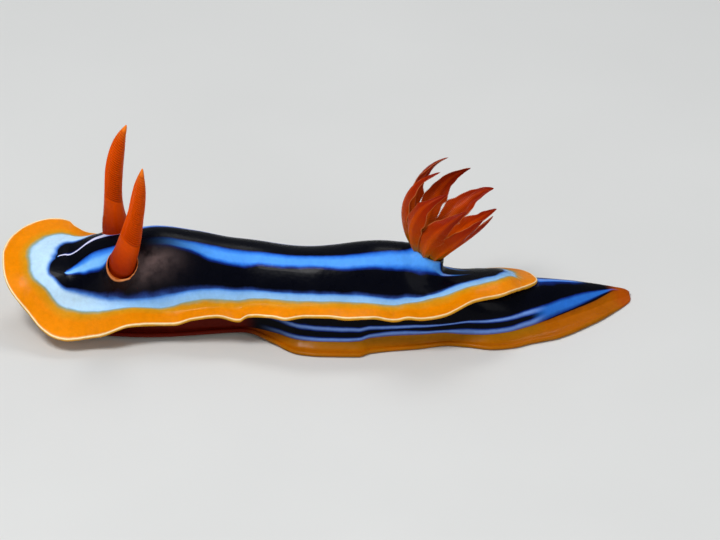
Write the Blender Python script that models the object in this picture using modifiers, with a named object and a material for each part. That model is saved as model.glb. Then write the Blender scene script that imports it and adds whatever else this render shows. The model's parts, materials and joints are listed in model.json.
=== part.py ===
"""A pyjama slug at life size, a still model crawling on its sole.

The animal faces -X and its left side faces -Y. A station is a distance from the front edge of
the mantle along +X. Sizes are in metres, angles in degrees unless a name says otherwise.
"""

import math

import bmesh
import bpy
from mathutils import Matrix, Vector

# The whole animal
LENGTH = 0.0502
SIDE_SHIFT = -0.0011
GAP = 0.0003
STEP = 0.0002
MERGE = 0.00001
SMOOTH_ANGLE = 50
CUT_REACH = 0.03
CUT_CENTRE_Z = 0.006

# The mantle: tables give a value for each station
SPINE_Y = ((0, 0.0013), (0.005, 0.00105), (0.012, 0.00125), (0.019, 0.0015), (0.026, 0.00015),
           (0.033, 0.0002), (0.0385, 0.0008), (0.043, 0.0017), (0.047, 0.0026))
CREST_Z = ((0.0045, 0.0059), (0.0052, 0.0059), (0.0076, 0.00715), (0.0095, 0.00765),
           (0.0125, 0.0083), (0.0155, 0.0079), (0.0185, 0.0073), (0.022, 0.0070), (0.026, 0.00735),
           (0.030, 0.00785), (0.0318, 0.0077), (0.0335, 0.0065), (0.0350, 0.0055), (0.037, 0.00505),
           (0.039, 0.00495), (0.040, 0.00495))
HALF_NEAR = ((0.0050, 0.00621), (0.0052, 0.00621), (0.0078, 0.0061), (0.010, 0.0054), (0.013, 0.0048),
             (0.018, 0.0046), (0.026, 0.00465), (0.033, 0.0045), (0.0365, 0.0039), (0.039, 0.0033))
HALF_FAR = ((0.0050, 0.0051), (0.0052, 0.00507), (0.0056, 0.00466), (0.0060, 0.0044), (0.0064, 0.0042),
            (0.0068, 0.00415), (0.0075, 0.0043), (0.0085, 0.0045), (0.010, 0.0045), (0.013, 0.0046),
            (0.018, 0.0046), (0.026, 0.00465), (0.033, 0.0045), (0.0365, 0.0040), (0.039, 0.0037))
DROP_NEAR = ((0.0045, 0.0024), (0.0052, 0.0024), (0.0078, 0.0040), (0.0095, 0.0043), (0.013, 0.0052),
             (0.018, 0.0044), (0.022, 0.0037), (0.026, 0.00355), (0.031, 0.0043), (0.0350, 0.0019),
             (0.0372, 0.0008), (0.039, 0.0007))
DROP_FAR = ((0.0045, 0.0013), (0.0052, 0.0013), (0.0078, 0.0033), (0.0095, 0.0038), (0.013, 0.0048),
            (0.018, 0.0044), (0.022, 0.0037), (0.026, 0.00355), (0.031, 0.0044), (0.0354, 0.0024),
            (0.038, 0.0012))
ROLL = ((0.0045, 22), (0.0052, 22), (0.009, 14), (0.013, 8), (0.020, 0), (0.032, 0), (0.037, -7),
        (0.039, -8), (0.040, -8))
ARCH_HALF = ((0.0045, 0.0033), (0.0052, 0.0033), (0.010, 0.0035), (0.014, 0.0036), (0.020, 0.0034),
             (0.033, 0.0033), (0.037, 0.0026), (0.039, 0.0022))
CORE_DEPTH = ((0.0052, 0.0015), (0.009, 0.0026), (0.014, 0.0032), (0.032, 0.0031), (0.0352, 0.0014),
              (0.039, 0.0010))
FRONT_FOCUS = 0.0052
REAR_FOCUS = 0.0390
FRONT_OUTLINE = ((-90, 0.00621), (-80, 0.0060), (-70, 0.00562), (-60, 0.0052), (-50, 0.00493),
                 (-40, 0.00488), (-20, 0.00503), (0, 0.00516), (10, 0.0053), (20, 0.0055), (35, 0.00563),
                 (50, 0.00564), (70, 0.00554), (80, 0.0054), (90, 0.00507))
REAR_OUTLINE = ((-90, 0.0033), (-80, 0.00305), (-65, 0.0027), (-45, 0.0025), (-30, 0.00252),
                (-15, 0.0028), (0, 0.00355), (8, 0.0038), (20, 0.0039), (40, 0.00402), (60, 0.0039),
                (75, 0.00378), (90, 0.0037))
FRONT_DROP = 0.0009
REAR_DROP = 0.0012
ARCH_MIX = 0.5
ARCH_BLEND = 0.0007
SKIRT_SLOPE = 0.22
SKIRT_SLOPE_SHARE = 0.35
RIM_THICK = 0.0005
NECK_THICK = 0.0010
NECK_SHARE = 0.66
RUFFLE_NEAR = ((0.0098, 0), (0.0121, -0.00029), (0.0135, -0.00029), (0.0151, 0.00018), (0.017, 0.00029),
               (0.019, -0.00024), (0.0207, 0.00009), (0.0227, 0.00015), (0.0237, -0.00004),
               (0.0249, 0.00025), (0.0262, 0.00013), (0.0274, -0.00011), (0.0288, 0.00004),
               (0.0297, 0.00016), (0.0311, 0.00005), (0.0323, 0.0001), (0.034, 0))
RUFFLE_FAR = ((0.009, 0), (0.0115, -0.00015), (0.0132, 0.0001), (0.0154, -0.00015), (0.0176, 0.00015),
              (0.0198, -0.0001), (0.022, 0.00015), (0.0242, -0.00012), (0.0264, 0.00015),
              (0.0286, -0.00012), (0.0306, 0.0001), (0.0326, 0))
SIDE_STEPS = 30
CAP_STEPS = 12
TOP_SHARES = (0, 0.12, 0.25, 0.38, 0.5, 0.6, 0.7, 0.82, 0.93)
UNDER_SHARES = (0.93, 0.8, 0.66, 0.45, 0.22, 0)

# The foot, flanks and tail
FOOT_Y = ((0.004, 0.0010), (0.012, 0.0010), (0.019, 0.0014), (0.0244, 0.0001), (0.0287, 0),
          (0.033, 0.0002), (0.0384, 0.0009), (0.042, 0.0020), (0.0457, 0.0035), (0.048, 0.0047),
          (0.0492, 0.00525), (LENGTH, 0.0056))
FOOT_HALF = ((0.0062, 0.0011), (0.0068, 0.0019), (0.0080, 0.0026), (0.012, 0.0030), (0.019, 0.0027),
             (0.0206, 0.0026), (0.0226, 0.0031), (0.0243, 0.0042), (0.0256, 0.00436), (0.0284, 0.00436),
             (0.0293, 0.0038), (0.0308, 0.0035), (0.0329, 0.0033), (0.0349, 0.0030), (0.0364, 0.0034),
             (0.0384, 0.0042), (0.0395, 0.0043), (0.041, 0.0041), (0.0425, 0.0041), (0.0435, 0.0039),
             (0.0455, 0.0032), (0.047, 0.0026), (0.0486, 0.0019), (0.0495, 0.0014), (0.0500, 0.0009),
             (LENGTH, 0.0003))
FLANGE_SHARES = (0.93, 1.0, 0.95)
FOOT_LIFT = ((0.008, 0.0004), (0.019, 0.0005), (0.0244, 0), (LENGTH, 0))
WALL_SHARE = ((0.0062, 0.7), (0.012, 0.82), (0.020, 0.88), (0.0244, 0.76), (0.0284, 0.76),
              (0.0308, 0.82), (0.0349, 0.86), (0.0364, 0.80), (0.0384, 0.72), (0.041, 0.66),
              (0.0435, 0.58), (0.0455, 0.55), (0.047, 0.50), (0.0486, 0.42), (LENGTH, 0.4))
ROOF_Z = ((0.0062, 0.0030), (0.009, 0.0058), (0.0125, 0.0062), (0.032, 0.0060), (0.0348, 0.0048),
          (0.038, 0.0043), (0.042, 0.0035), (0.0438, 0.0031), (0.0457, 0.0025), (0.0475, 0.0017),
          (0.0490, 0.0010), (0.0499, 0.0006), (LENGTH, 0.00035))
ROOF_SQUARE = ((0.0062, 2.4), (0.012, 4.0), (0.034, 4.0), (0.042, 1.9), (0.0457, 1.6), (LENGTH, 1.7))
FLANGE_Z = ((0.0062, 0.0007), (0.012, 0.00085), (0.042, 0.00085), (0.0475, 0.0005), (LENGTH, 0.0002))
EDGE_THICK = ((0.0062, 0.0003), (0.012, 0.0004), (0.0457, 0.0004), (LENGTH, 0.00015))
SOLE_SHARE = 0.6
BODY_STATIONS = 41
TIP_START = 0.0488
TIP_STATIONS = (0.0493, 0.0497, 0.0500, LENGTH)
ROOF_STEPS = 12
FOOT_TOP = 0.00095
BODY_CUTS = (0.0197, 0.0317)
TAIL_CUT = (0.0434,)
MANTLE_CUTS = (0.0119, 0.0212, 0.0315)

# The head under the front of the mantle
HEAD_FRONT = 0.0040
HEAD_BACK = 0.0078
HEAD_Y = 0.0011
HEAD_Z = 0.0031
HEAD_HALF = 0.0021
HEAD_HIGH = 0.0018
HEAD_SIDES = 14
HEAD_STEPS = 8
SNOUT_SWELL = (0.10, 0.52, 0.6)
MOUTH_SINK = 0.0003
MOUTH_AXIS = (-1, 0, -0.15)
MOUTH_RADIUS = 0.00042
MOUTH_FLOOR = 0.00012
MOUTH_SIDES = 10
LIP_THICK = 0.00028
LIP_ROUND = 0.0001
LIP_SINK = 0.0006
LIP_SIDES = 14
MOUTH_DEPTH = 0.0007
ORAL_LENGTH = 0.0019
ORAL_ROOT = 0.00052
ORAL_TIP = 0.00022
ORAL_SHARE = 0.16
ORAL_ANGLE = 0.45
ORAL_LIE = (-0.9, 0.8)
ORAL_SIDES = 10

# The rhinophores and their sheaths: a lean is how far back one runs for each unit that it rises
RHINO_LEFT = dict(side=-1, station=0.0094, share=0.43, tip=(0.01145, -0.0019, 0.01585),
                  root_lean=0.24, tip_lean=0.12, girth=0.94)
RHINO_RIGHT = dict(side=1, station=0.0091, share=0.42, tip=(0.01005, 0.0034, 0.01685),
                   root_lean=-0.12, tip_lean=0.42, girth=1.04)
RHINO_SINK = 0.0007
RHINO_EASE = 0.36
STALK_SHARE = 0.36
STALK_RINGS = (0, 0.06, 0.16, 0.28, 0.34)
STALK_RADIUS = ((0, 0.00080), (0.07, 0.00084), (0.12, 0.00088), (0.2, 0.00096), (0.36, 0.00090))
CLUB_RADIUS = ((0.36, 0.00084), (0.45, 0.00083), (0.6, 0.00073), (0.7, 0.00066), (0.8, 0.00057),
               (0.9, 0.00042), (0.96, 0.00026), (1.0, 0.00009))
LAMELLAE = 12
LAMELLA_END = 0.90
LAMELLA_DEPTH = 0.24
LAMELLA_RINGS = ((0.10, 1.0, LAMELLA_DEPTH), (0.45, 1.02, 0), (0.80, 1.0, 0))
GROOVE_LEAST = 0.25
TIP_RINGS = ((0.92, 0.7), (0.965, 0.35), (1.0, 0))
LAMELLA_SLANT = 26
RHINO_SIDES = 10
RIB_WIDTH = 0.6
SHEATH_OUTER = 0.00145
SHEATH_LIP = 0.00012
SOCKET_RADIUS = STALK_RADIUS[2][1] + GAP
SOCKET_FLARE = 0.0002
SHEATH_FOOT = 0.00175
SHEATH_RISE = 0.0005
SHEATH_SINK = 0.0011
SHEATH_LEAN = 0.5
SHEATH_SIDES = 20

# The gills and the pocket that they rise from
GILL_STATION = 0.0338
GILL_CENTRE_Z = 0.0070
GILL_TILT = 28
POCKET_OUTER = 0.00162
POCKET_TOP = -0.0002
POCKET_SINK = 0.00185
POCKET_LIP = 0.00015
POCKET_FLARE = 0.0003
POCKET_SIDES = 28
BASE_RADIUS = 0.00105
BASE_THICK = 0.0007
BASE_LIP = 0.0001
BASE_SIDES = 24
GILL_RING = 0.00079
GILL_COUNT = 9
GILL_FIRST = 20
GILL_LENGTHS = (0.0066, 0.0076, 0.0076, 0.0079, 0.0074, 0.0069, 0.0066, 0.0064, 0.0065)
GILL_OPENINGS = (24, 37, 25, 28, 27, 27, 24, 22, 20)
GILL_BOWS = (0.7, 0.95, 1.0, 1.0, 1.12, 1.1, 0.9, 0.75, 0.6)
GILL_SWEEP = 7
GILL_LOW = (0.23, 0.25)
GILL_LOW_LEAN = -8
GILL_HIGH = (0.58, 0.44)
GILL_HIGH_LEAN = 18
STEM_RADIUS = ((0, 0.00021), (0.12, 0.00025), (0.4, 0.00029), (1, 0.00009))
GILL_RINGS = 9
GILL_SIDES = 5
LEAFLET_SIDES = 4
LEAFLETS = 8
LEAFLET_SPAN = (0.20, 0.97)
LEAFLET_STAGGER = 0.4
LEAFLET_WAVE = 2.3
LEAFLET_CHANGE = 0.08
LEAFLET_REACH = 0.00092
LEAFLET_ROOT = 0.00034
LEAFLET_TIP = 0.00010
LEAFLET_FLAT = 0.72
LEAFLET_RAKE = (50, 40)
LEAFLET_INWARD = 0.25
LEAFLET_SINK = 0.00012
LEAFLET_LEAST = 0.45
LEAFLET_SWELL = (0.06, 0.88)
PAPILLA_RADIUS = 0.00045
PAPILLA_HEIGHT = 0.0016
PAPILLA_SIDES = 10

# Colour and roughness
COLOURS = dict(
    mantle=((0.02, 0.05, 0.16), 0.28),
    orange=((0.80, 0.28, 0.02), 0.35),
    flank=((0.01, 0.02, 0.05), 0.3),
    head=((0.62, 0.66, 0.72), 0.35),
    rhino=((0.75, 0.12, 0.01), 0.35),
    gill=((0.45, 0.04, 0.01), 0.35))


def along(table, station):
    """The value of a (station, value) table at a station, on a smooth curve that doesn't overshoot."""
    if station <= table[0][0]:
        return table[0][1]
    if station >= table[-1][0]:
        return table[-1][1]
    i = max(k for k in range(len(table) - 1) if table[k][0] <= station)
    rises = [(table[k + 1][1] - table[k][1]) / (table[k + 1][0] - table[k][0])
             for k in range(len(table) - 1)]

    def slope(k):
        before = rises[max(k - 1, 0)]
        after = rises[min(k, len(rises) - 1)]
        return 2 * before * after / (before + after) if before * after > 0 else 0

    span = table[i + 1][0] - table[i][0]
    t = (station - table[i][0]) / span
    blend = t * t * (3 - 2 * t)
    start = slope(i) * span * t * (1 - t) ** 2
    end = slope(i + 1) * span * t * t * (1 - t)
    return table[i][1] * (1 - blend) + table[i + 1][1] * blend + start - end


def mix(ends, share):
    """The value at a share of the way between two ends."""
    return ends[0] + (ends[1] - ends[0]) * share


def heading(table, station):
    """The unit direction, seen from above, of a midline whose y a table gives."""
    rise = (along(table, station + STEP) - along(table, station - STEP)) / (2 * STEP)
    return Vector((1, rise, 0)).normalized()


def place(station, y, z):
    """A point of the model, with the origin under the middle of the animal."""
    return Vector((station - LENGTH / 2, y + SIDE_SHIFT, z))


def loft(rows, caps=True):
    """A closed mesh through rows of points, each row a closed loop."""
    bm = bmesh.new()
    loops = [[bm.verts.new(point) for point in row] for row in rows]
    count = len(rows[0])
    for first, second in zip(loops, loops[1:]):
        for i in range(count):
            j = (i + 1) % count
            bm.faces.new((first[i], first[j], second[j], second[i]))
    if caps:
        bm.faces.new(loops[0])
        bm.faces.new(loops[-1])
    bmesh.ops.remove_doubles(bm, verts=bm.verts[:], dist=MERGE / 100)
    bmesh.ops.dissolve_degenerate(bm, edges=bm.edges[:], dist=MERGE / 100)
    bmesh.ops.recalc_face_normals(bm, faces=bm.faces[:])
    return bm


def add_object(name, shape, colour=None):
    """An object of a bmesh or mesh: a part if it has a colour, otherwise one that cuts or is joined."""
    mesh = shape
    if isinstance(shape, bmesh.types.BMesh):
        mesh = bpy.data.meshes.new(name)
        shape.to_mesh(mesh)
        shape.free()
    obj = bpy.data.objects.new(name, mesh)
    if colour:
        parts.objects.link(obj)
        obj.parent = root
        paint(obj, colour)
    else:
        cutters.objects.link(obj)
        obj.hide_render = True
        obj.display_type = "WIRE"
    return obj


def paint(obj, colour):
    """Gives an object a material of its own."""
    base, roughness = COLOURS[colour]
    material = bpy.data.materials.new(obj.name)
    material.use_nodes = True
    shader = material.node_tree.nodes["Principled BSDF"]
    shader.inputs["Base Color"].default_value = (*base, 1)
    shader.inputs["Roughness"].default_value = roughness
    shader.inputs["Metallic"].default_value = 0
    obj.data.materials.clear()
    obj.data.materials.append(material)
    obj.data.shade_smooth()
    obj.data.set_sharp_from_angle(angle=math.radians(SMOOTH_ANGLE))


def combine(obj, others, operation, solver="EXACT"):
    """One Boolean of an object with a group of closed objects, applied, and the group removed."""
    group = bpy.data.collections.new("joined")
    for other in others:
        group.objects.link(other)
    modifier = obj.modifiers.new("combine", "BOOLEAN")
    modifier.operation = operation
    modifier.operand_type = "COLLECTION"
    modifier.collection = group
    modifier.solver = solver
    bpy.context.view_layer.update()
    graph = bpy.context.evaluated_depsgraph_get()
    mesh = bpy.data.meshes.new_from_object(obj.evaluated_get(graph))
    obj.modifiers.clear()
    obj.data = mesh
    for other in others:
        bpy.data.objects.remove(other)
    bpy.data.collections.remove(group)
    return obj


def islands(bm):
    """The separate closed surfaces of a bmesh, as lists of faces."""
    left = set(bm.faces)
    found = []
    while left:
        reached = {left.pop()}
        edge_of = list(reached)
        while edge_of:
            face = edge_of.pop()
            for edge in face.edges:
                for other in edge.link_faces:
                    if other in left:
                        left.remove(other)
                        reached.add(other)
                        edge_of.append(other)
        found.append(reached)
    return sorted(found, key=len, reverse=True)


def keep_largest(obj):
    """Drops all but the largest closed surface of an object."""
    bm = bmesh.new()
    bm.from_mesh(obj.data)
    for scrap in islands(bm)[1:]:
        bmesh.ops.delete(bm, geom=list(scrap), context="FACES")
    bm.to_mesh(obj.data)
    bm.free()
    return obj


def divide(obj, names, colours):
    """Makes the largest separate pieces of an object into objects, named from front to back."""
    bm = bmesh.new()
    bm.from_mesh(obj.data)
    pieces = islands(bm)[:len(names)]
    pieces.sort(key=lambda faces: min(v.co.x for f in faces for v in f.verts))
    made = []
    for name, faces, colour in zip(names, pieces, colours):
        piece = bmesh.new()
        copies = {}
        for face in faces:
            corners = []
            for vert in face.verts:
                if vert not in copies:
                    copies[vert] = piece.verts.new(vert.co)
                corners.append(copies[vert])
            piece.faces.new(corners)
        made.append(add_object(name, piece, colour))
    bm.free()
    bpy.data.objects.remove(obj)
    return made


def slab(size, centre, turn=Matrix()):
    """A box of the given sides round a point, as a closed object that cuts."""
    bm = bmesh.new()
    bmesh.ops.create_cube(bm, size=1)
    bmesh.ops.scale(bm, vec=size, verts=bm.verts[:])
    bmesh.ops.transform(bm, matrix=Matrix.Translation(centre) @ turn, verts=bm.verts[:])
    return add_object("slab", bm)


def turned(name, profile, sides, frame, colour=None):
    """A solid turned round the Z axis of a frame; its (radius, height) points run down its side."""
    points = [(0, profile[0][1]), *profile, (0, profile[-1][1])]
    mesh = bpy.data.meshes.new(name)
    edges = [(i, i + 1) for i in range(len(points) - 1)]
    mesh.from_pydata([(radius, 0, height) for radius, height in points], edges, [])
    obj = add_object(name, mesh, colour)
    obj.matrix_world = frame
    screw = obj.modifiers.new("turn", "SCREW")
    screw.steps = sides
    screw.render_steps = sides
    screw.use_merge_vertices = True
    screw.merge_threshold = MERGE
    return obj


def frame_at(origin, axis, side=Vector((0, 1, 0))):
    """A frame at a point whose Z runs along an axis and whose X lies near a side direction."""
    z = axis.normalized()
    x = (side - z * side.dot(z)).normalized()
    y = z.cross(x)
    turn = Matrix((x, y, z)).transposed()
    return Matrix.Translation(origin) @ turn.to_4x4()


# The mantle

def side_rib(station, side):
    """The rib that runs out to one margin from a station of the crest."""
    half = HALF_NEAR if side < 0 else HALF_FAR
    drop = DROP_NEAR if side < 0 else DROP_FAR
    return dict(station=station, ahead=0, across=side, reach=along(half, station),
                drop=along(drop, station), side=side)


def cap_rib(rear, angle):
    """The rib at an angle from straight ahead, or from straight behind; -90 is the near side."""
    focus = REAR_FOCUS if rear else FRONT_FOCUS
    level = REAR_DROP if rear else FRONT_DROP
    a = math.radians(angle)
    side = -1 if angle < 0 else 1
    flank = side_rib(focus, side)
    reach = along(REAR_OUTLINE if rear else FRONT_OUTLINE, angle)
    drop = level + (flank["drop"] - level) * math.sin(a) ** 2
    return dict(station=focus, ahead=math.cos(a) * (1 if rear else -1), across=math.sin(a),
                reach=reach, drop=drop, side=side)


def mantle_ribs(steps, cap_steps):
    """Ribs all round: near margin backwards, rear, far margin forwards, front."""
    span = REAR_FOCUS - FRONT_FOCUS
    ribs = [side_rib(FRONT_FOCUS + span * i / steps, -1) for i in range(steps + 1)]
    ribs += [cap_rib(True, -90 + 180 * i / cap_steps) for i in range(1, cap_steps)]
    ribs += [side_rib(REAR_FOCUS - span * i / steps, 1) for i in range(steps + 1)]
    ribs += [cap_rib(False, 90 - 180 * i / cap_steps) for i in range(1, cap_steps)]
    return ribs


def arch_height(rib, out):
    """Height of the arched back over its margin, before it is scaled to the rib's own drop."""
    drop, reach = rib["drop"], rib["reach"]
    q = (out / along(ARCH_HALF, rib["station"])) ** 2
    arch = drop * (1 - ARCH_MIX * q - (1 - ARCH_MIX) * q * q)
    skirt = min(SKIRT_SLOPE, SKIRT_SLOPE_SHARE * drop / reach) * (reach - out)
    return 0.5 * (arch + skirt + math.hypot(arch - skirt, ARCH_BLEND))


def top_drop(rib, share):
    """How far the upper side lies under the crest at a share of the rib."""
    reach = rib["reach"]
    low = arch_height(rib, reach)
    high = arch_height(rib, 0)
    fall = rib["drop"] * (1 - (arch_height(rib, share * reach) - low) / (high - low))
    ruffle = along(RUFFLE_NEAR if rib["side"] < 0 else RUFFLE_FAR, rib["station"])
    edge = max(0, (share - 0.5) / 0.5) ** 2
    return fall - ruffle * edge * abs(rib["across"])


def under_drop(rib, share, grow=0):
    """How far the under side lies under the crest at a share of the rib."""
    if share >= NECK_SHARE:
        inward = (1 - share) / (1 - NECK_SHARE)
        return top_drop(rib, share) + RIM_THICK + (NECK_THICK - RIM_THICK) * inward + grow
    neck = under_drop(rib, NECK_SHARE, grow)
    core = along(CORE_DEPTH, rib["station"]) + grow
    return core + (neck - core) * (share / NECK_SHARE) ** 2


def rib_point(rib, share, drop):
    """A point at a share of a rib and a drop under the crest, in the mantle's rolled frame."""
    station = rib["station"]
    ahead = heading(SPINE_Y, station)
    aside = Vector((-ahead.y, ahead.x, 0))
    roll = math.radians(along(ROLL, station))
    out = share * rib["reach"] * rib["across"]
    lateral = out * math.cos(roll) + drop * math.sin(roll)
    height = along(CREST_Z, station) + out * math.sin(roll) - drop * math.cos(roll)
    centre = place(station, along(SPINE_Y, station), height)
    return centre + ahead * (share * rib["reach"] * rib["ahead"]) + aside * lateral


def mantle_solid(grow=0):
    """The mantle as one closed solid, with its under side and rim grown for a cutter."""
    ribs = mantle_ribs(SIDE_STEPS, CAP_STEPS)
    rows = [[rib_point(rib, share, top_drop(rib, share)) for rib in ribs] for share in TOP_SHARES]
    rows.append([rib_point(rib, 1 + grow / rib["reach"], top_drop(rib, 1) + RIM_THICK / 2)
                 for rib in ribs])
    rows += [[rib_point(rib, share, under_drop(rib, share, grow)) for rib in ribs]
             for share in UNDER_SHARES]
    return loft(rows, caps=False)


def surface_at(side, station, share):
    """A point on the upper side of the mantle and the direction square to it."""
    rib = side_rib(station, side)
    further = share + STEP / rib["reach"]
    here = rib_point(rib, share, top_drop(rib, share))
    outer = rib_point(rib, further, top_drop(rib, further))
    after = side_rib(station + STEP, side)
    behind = rib_point(after, share, top_drop(after, share))
    normal = (outer - here).cross(behind - here) * -side
    if normal.z < 0:
        normal = -normal
    return here, normal.normalized()


# The rhinophores

def bezier(start, first, second, end):
    """A function that gives the points of a cubic curve from its four control points."""
    def point(t):
        u = 1 - t
        return start * u ** 3 + first * (3 * t * u * u) + second * (3 * t * t * u) + end * t ** 3

    return point


def direction(point, t):
    """The unit direction of a curve at t."""
    step = 0.01
    return (point(min(t + step, 1)) - point(max(t - step, 0))).normalized()


def rhino_curve(spec):
    """Root on the mantle, direction at the root, and the midline of a rhinophore."""
    root, normal = surface_at(spec["side"], spec["station"], spec["share"])
    tip = place(*spec["tip"])
    aside = (tip.y - root.y) / (tip.z - root.z)
    axis = Vector((spec["root_lean"], aside, 1)).normalized()
    end_axis = Vector((spec["tip_lean"], aside, 1)).normalized()
    start = root - axis * RHINO_SINK
    ease = (tip - start).length * RHINO_EASE
    point = bezier(start, start + axis * ease, tip - end_axis * ease, tip)
    return root, axis, normal, point


def rhinophore(name, spec):
    """One rhinophore: a smooth stalk, then a club of slanted lamellae, then a bare tip."""
    point = rhino_curve(spec)[3]
    rows = []

    def ring(t, radius, slant, groove=0):
        frame = frame_at(point(t), direction(point, t))
        radius *= spec["girth"]
        row = []
        for i in range(RHINO_SIDES):
            angle = 2 * math.pi * i / RHINO_SIDES
            x, y = math.cos(angle), math.sin(angle)
            open_side = GROOVE_LEAST + (1 - GROOVE_LEAST) * abs(x) ** RIB_WIDTH
            reach = radius * (1 - groove * open_side)
            row.append(frame @ Vector((x * reach, y * reach, y * reach * math.tan(slant))))
        rows.append(row)

    slant = math.radians(LAMELLA_SLANT)
    for t in STALK_RINGS:
        ring(t, along(STALK_RADIUS, t), slant * t)
    pitch = (LAMELLA_END - STALK_SHARE) / LAMELLAE
    for i in range(LAMELLAE):
        t = STALK_SHARE + pitch * i
        for ahead, swell, groove in LAMELLA_RINGS:
            ring(t + pitch * ahead, along(CLUB_RADIUS, t) * swell, slant, groove)
    for t, share in TIP_RINGS:
        ring(t, along(CLUB_RADIUS, t), slant * share)
    return add_object(name, loft(rows), "rhino")


def sheath(spec):
    """The raised collar that a rhinophore stands in, and the socket to cut through it."""
    root, axis, normal, point = rhino_curve(spec)
    inner = SOCKET_RADIUS
    collar = turned("collar", ((SHEATH_OUTER - SHEATH_LIP, SHEATH_RISE),
                               (SHEATH_OUTER, SHEATH_RISE * 0.6),
                               (SHEATH_FOOT, -SHEATH_SINK * 0.4),
                               (SHEATH_OUTER, -SHEATH_SINK)),
                    SHEATH_SIDES, frame_at(root, axis + normal * SHEATH_LEAN))
    socket = turned("socket", ((inner + SOCKET_FLARE, 3 * SHEATH_RISE),
                               (inner, 0),
                               (inner, -RHINO_SINK - GAP)),
                    SHEATH_SIDES, frame_at(root, axis))
    return collar, socket


# The gills

def gill_frame():
    """The frame of the gill circlet: its Z is the axis, its X points to the rear."""
    station = GILL_STATION
    centre = place(station, along(SPINE_Y, station), GILL_CENTRE_Z)
    tilt = math.radians(GILL_TILT)
    return frame_at(centre, Vector((math.sin(tilt), 0, math.cos(tilt))), Vector((1, 0, 0)))


def pocket():
    """The raised rim round the gills, and the hollow to cut in it."""
    frame = gill_frame()
    rim = turned("rim", ((POCKET_OUTER - POCKET_LIP, POCKET_TOP),
                         (POCKET_OUTER, POCKET_TOP - POCKET_LIP),
                         (POCKET_OUTER + POCKET_FLARE, -POCKET_SINK)), POCKET_SIDES, frame)
    inner = BASE_RADIUS + GAP
    hollow = turned("hollow", ((inner + BASE_LIP, POCKET_OUTER),
                               (inner, 2 * POCKET_TOP),
                               (inner, -BASE_THICK - GAP)), POCKET_SIDES, frame)
    return rim, hollow


def leaning(angle):
    """The unit direction that leans back from upright by an angle."""
    return Vector((math.sin(math.radians(angle)), 0, math.cos(math.radians(angle))))


def gill_curve(index):
    """A function that gives points of one gill's midline, its outward direction and length."""
    frame = gill_frame()
    angle = math.radians(GILL_FIRST + 360 * index / GILL_COUNT)
    turn = frame.to_3x3()
    outward = turn @ Vector((math.cos(angle), math.sin(angle), 0))
    axis = turn @ Vector((0, 0, 1))
    start = frame.translation + outward * GILL_RING + axis * GAP
    opening = math.radians(GILL_OPENINGS[index])
    length = GILL_LENGTHS[index]
    lie = axis * math.cos(opening) + outward * math.sin(opening)
    lie.rotate(Matrix.Rotation(math.radians(GILL_SWEEP), 3, "Y"))
    tip = frame.translation + lie * length
    bow = outward * GILL_BOWS[index]
    first = start + (leaning(GILL_LOW_LEAN) * GILL_LOW[0] + bow * GILL_LOW[1]) * length
    second = start + (leaning(GILL_HIGH_LEAN) * GILL_HIGH[0] + bow * GILL_HIGH[1]) * length
    return bezier(start, first, second, tip), outward, axis


def gill_stem(name, point, axis, across):
    """The tapered stem of a gill, square to the circlet's floor at its root."""
    rows = []
    for i in range(GILL_RINGS):
        t = i / (GILL_RINGS - 1)
        radius = along(STEM_RADIUS, t)
        frame = frame_at(point(t), axis if i == 0 else direction(point, t), across)
        row = []
        for k in range(GILL_SIDES):
            angle = 2 * math.pi * k / GILL_SIDES
            row.append(frame @ Vector((radius * math.cos(angle), radius * math.sin(angle), 0)))
        rows.append(row)
    return add_object(name, loft(rows), "gill")


def leaflet(size, frame):
    """One leaflet, a flat tapered cone that starts inside the stem and runs along its frame's Z."""
    depth = LEAFLET_REACH * size + LEAFLET_SINK
    bm = bmesh.new()
    bmesh.ops.create_cone(bm, cap_ends=True, segments=LEAFLET_SIDES, radius1=LEAFLET_ROOT * size,
                          radius2=LEAFLET_TIP, depth=depth)
    bmesh.ops.translate(bm, verts=bm.verts[:], vec=(0, 0, depth / 2))
    bmesh.ops.scale(bm, verts=bm.verts[:], vec=(1, LEAFLET_FLAT, 1))
    bmesh.ops.transform(bm, verts=bm.verts[:], matrix=frame)
    return add_object("leaflet", bm)


def gill(index):
    """One gill: a tapered stem with a row of leaflets along each side, fused."""
    point, outward, axis = gill_curve(index)
    across = axis.cross(outward).normalized()
    stem = gill_stem("gill_%d" % (index + 1), point, axis, across)
    leaflets = []
    for k in range(LEAFLETS):
        for side in (-1, 1):
            share = (k + LEAFLET_STAGGER * (side + 1) / 2) / LEAFLETS
            t = mix(LEAFLET_SPAN, share)
            swell = math.sin(math.pi * mix(LEAFLET_SWELL, share))
            wave = math.sin(LEAFLET_WAVE * (k + side + index))
            size = (LEAFLET_LEAST + (1 - LEAFLET_LEAST) * swell) * (1 + LEAFLET_CHANGE * wave)
            rake = math.radians(mix(LEAFLET_RAKE, share))
            lie = across * (side * math.sin(rake)) + direction(point, t) * math.cos(rake)
            lie = (lie - outward * LEAFLET_INWARD).normalized()
            leaflets.append(leaflet(size, frame_at(point(t) - lie * LEAFLET_SINK, lie, outward)))
    combine(stem, leaflets, "UNION")
    keep_largest(stem)
    paint(stem, "gill")
    return stem


# The foot, flanks and tail

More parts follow.
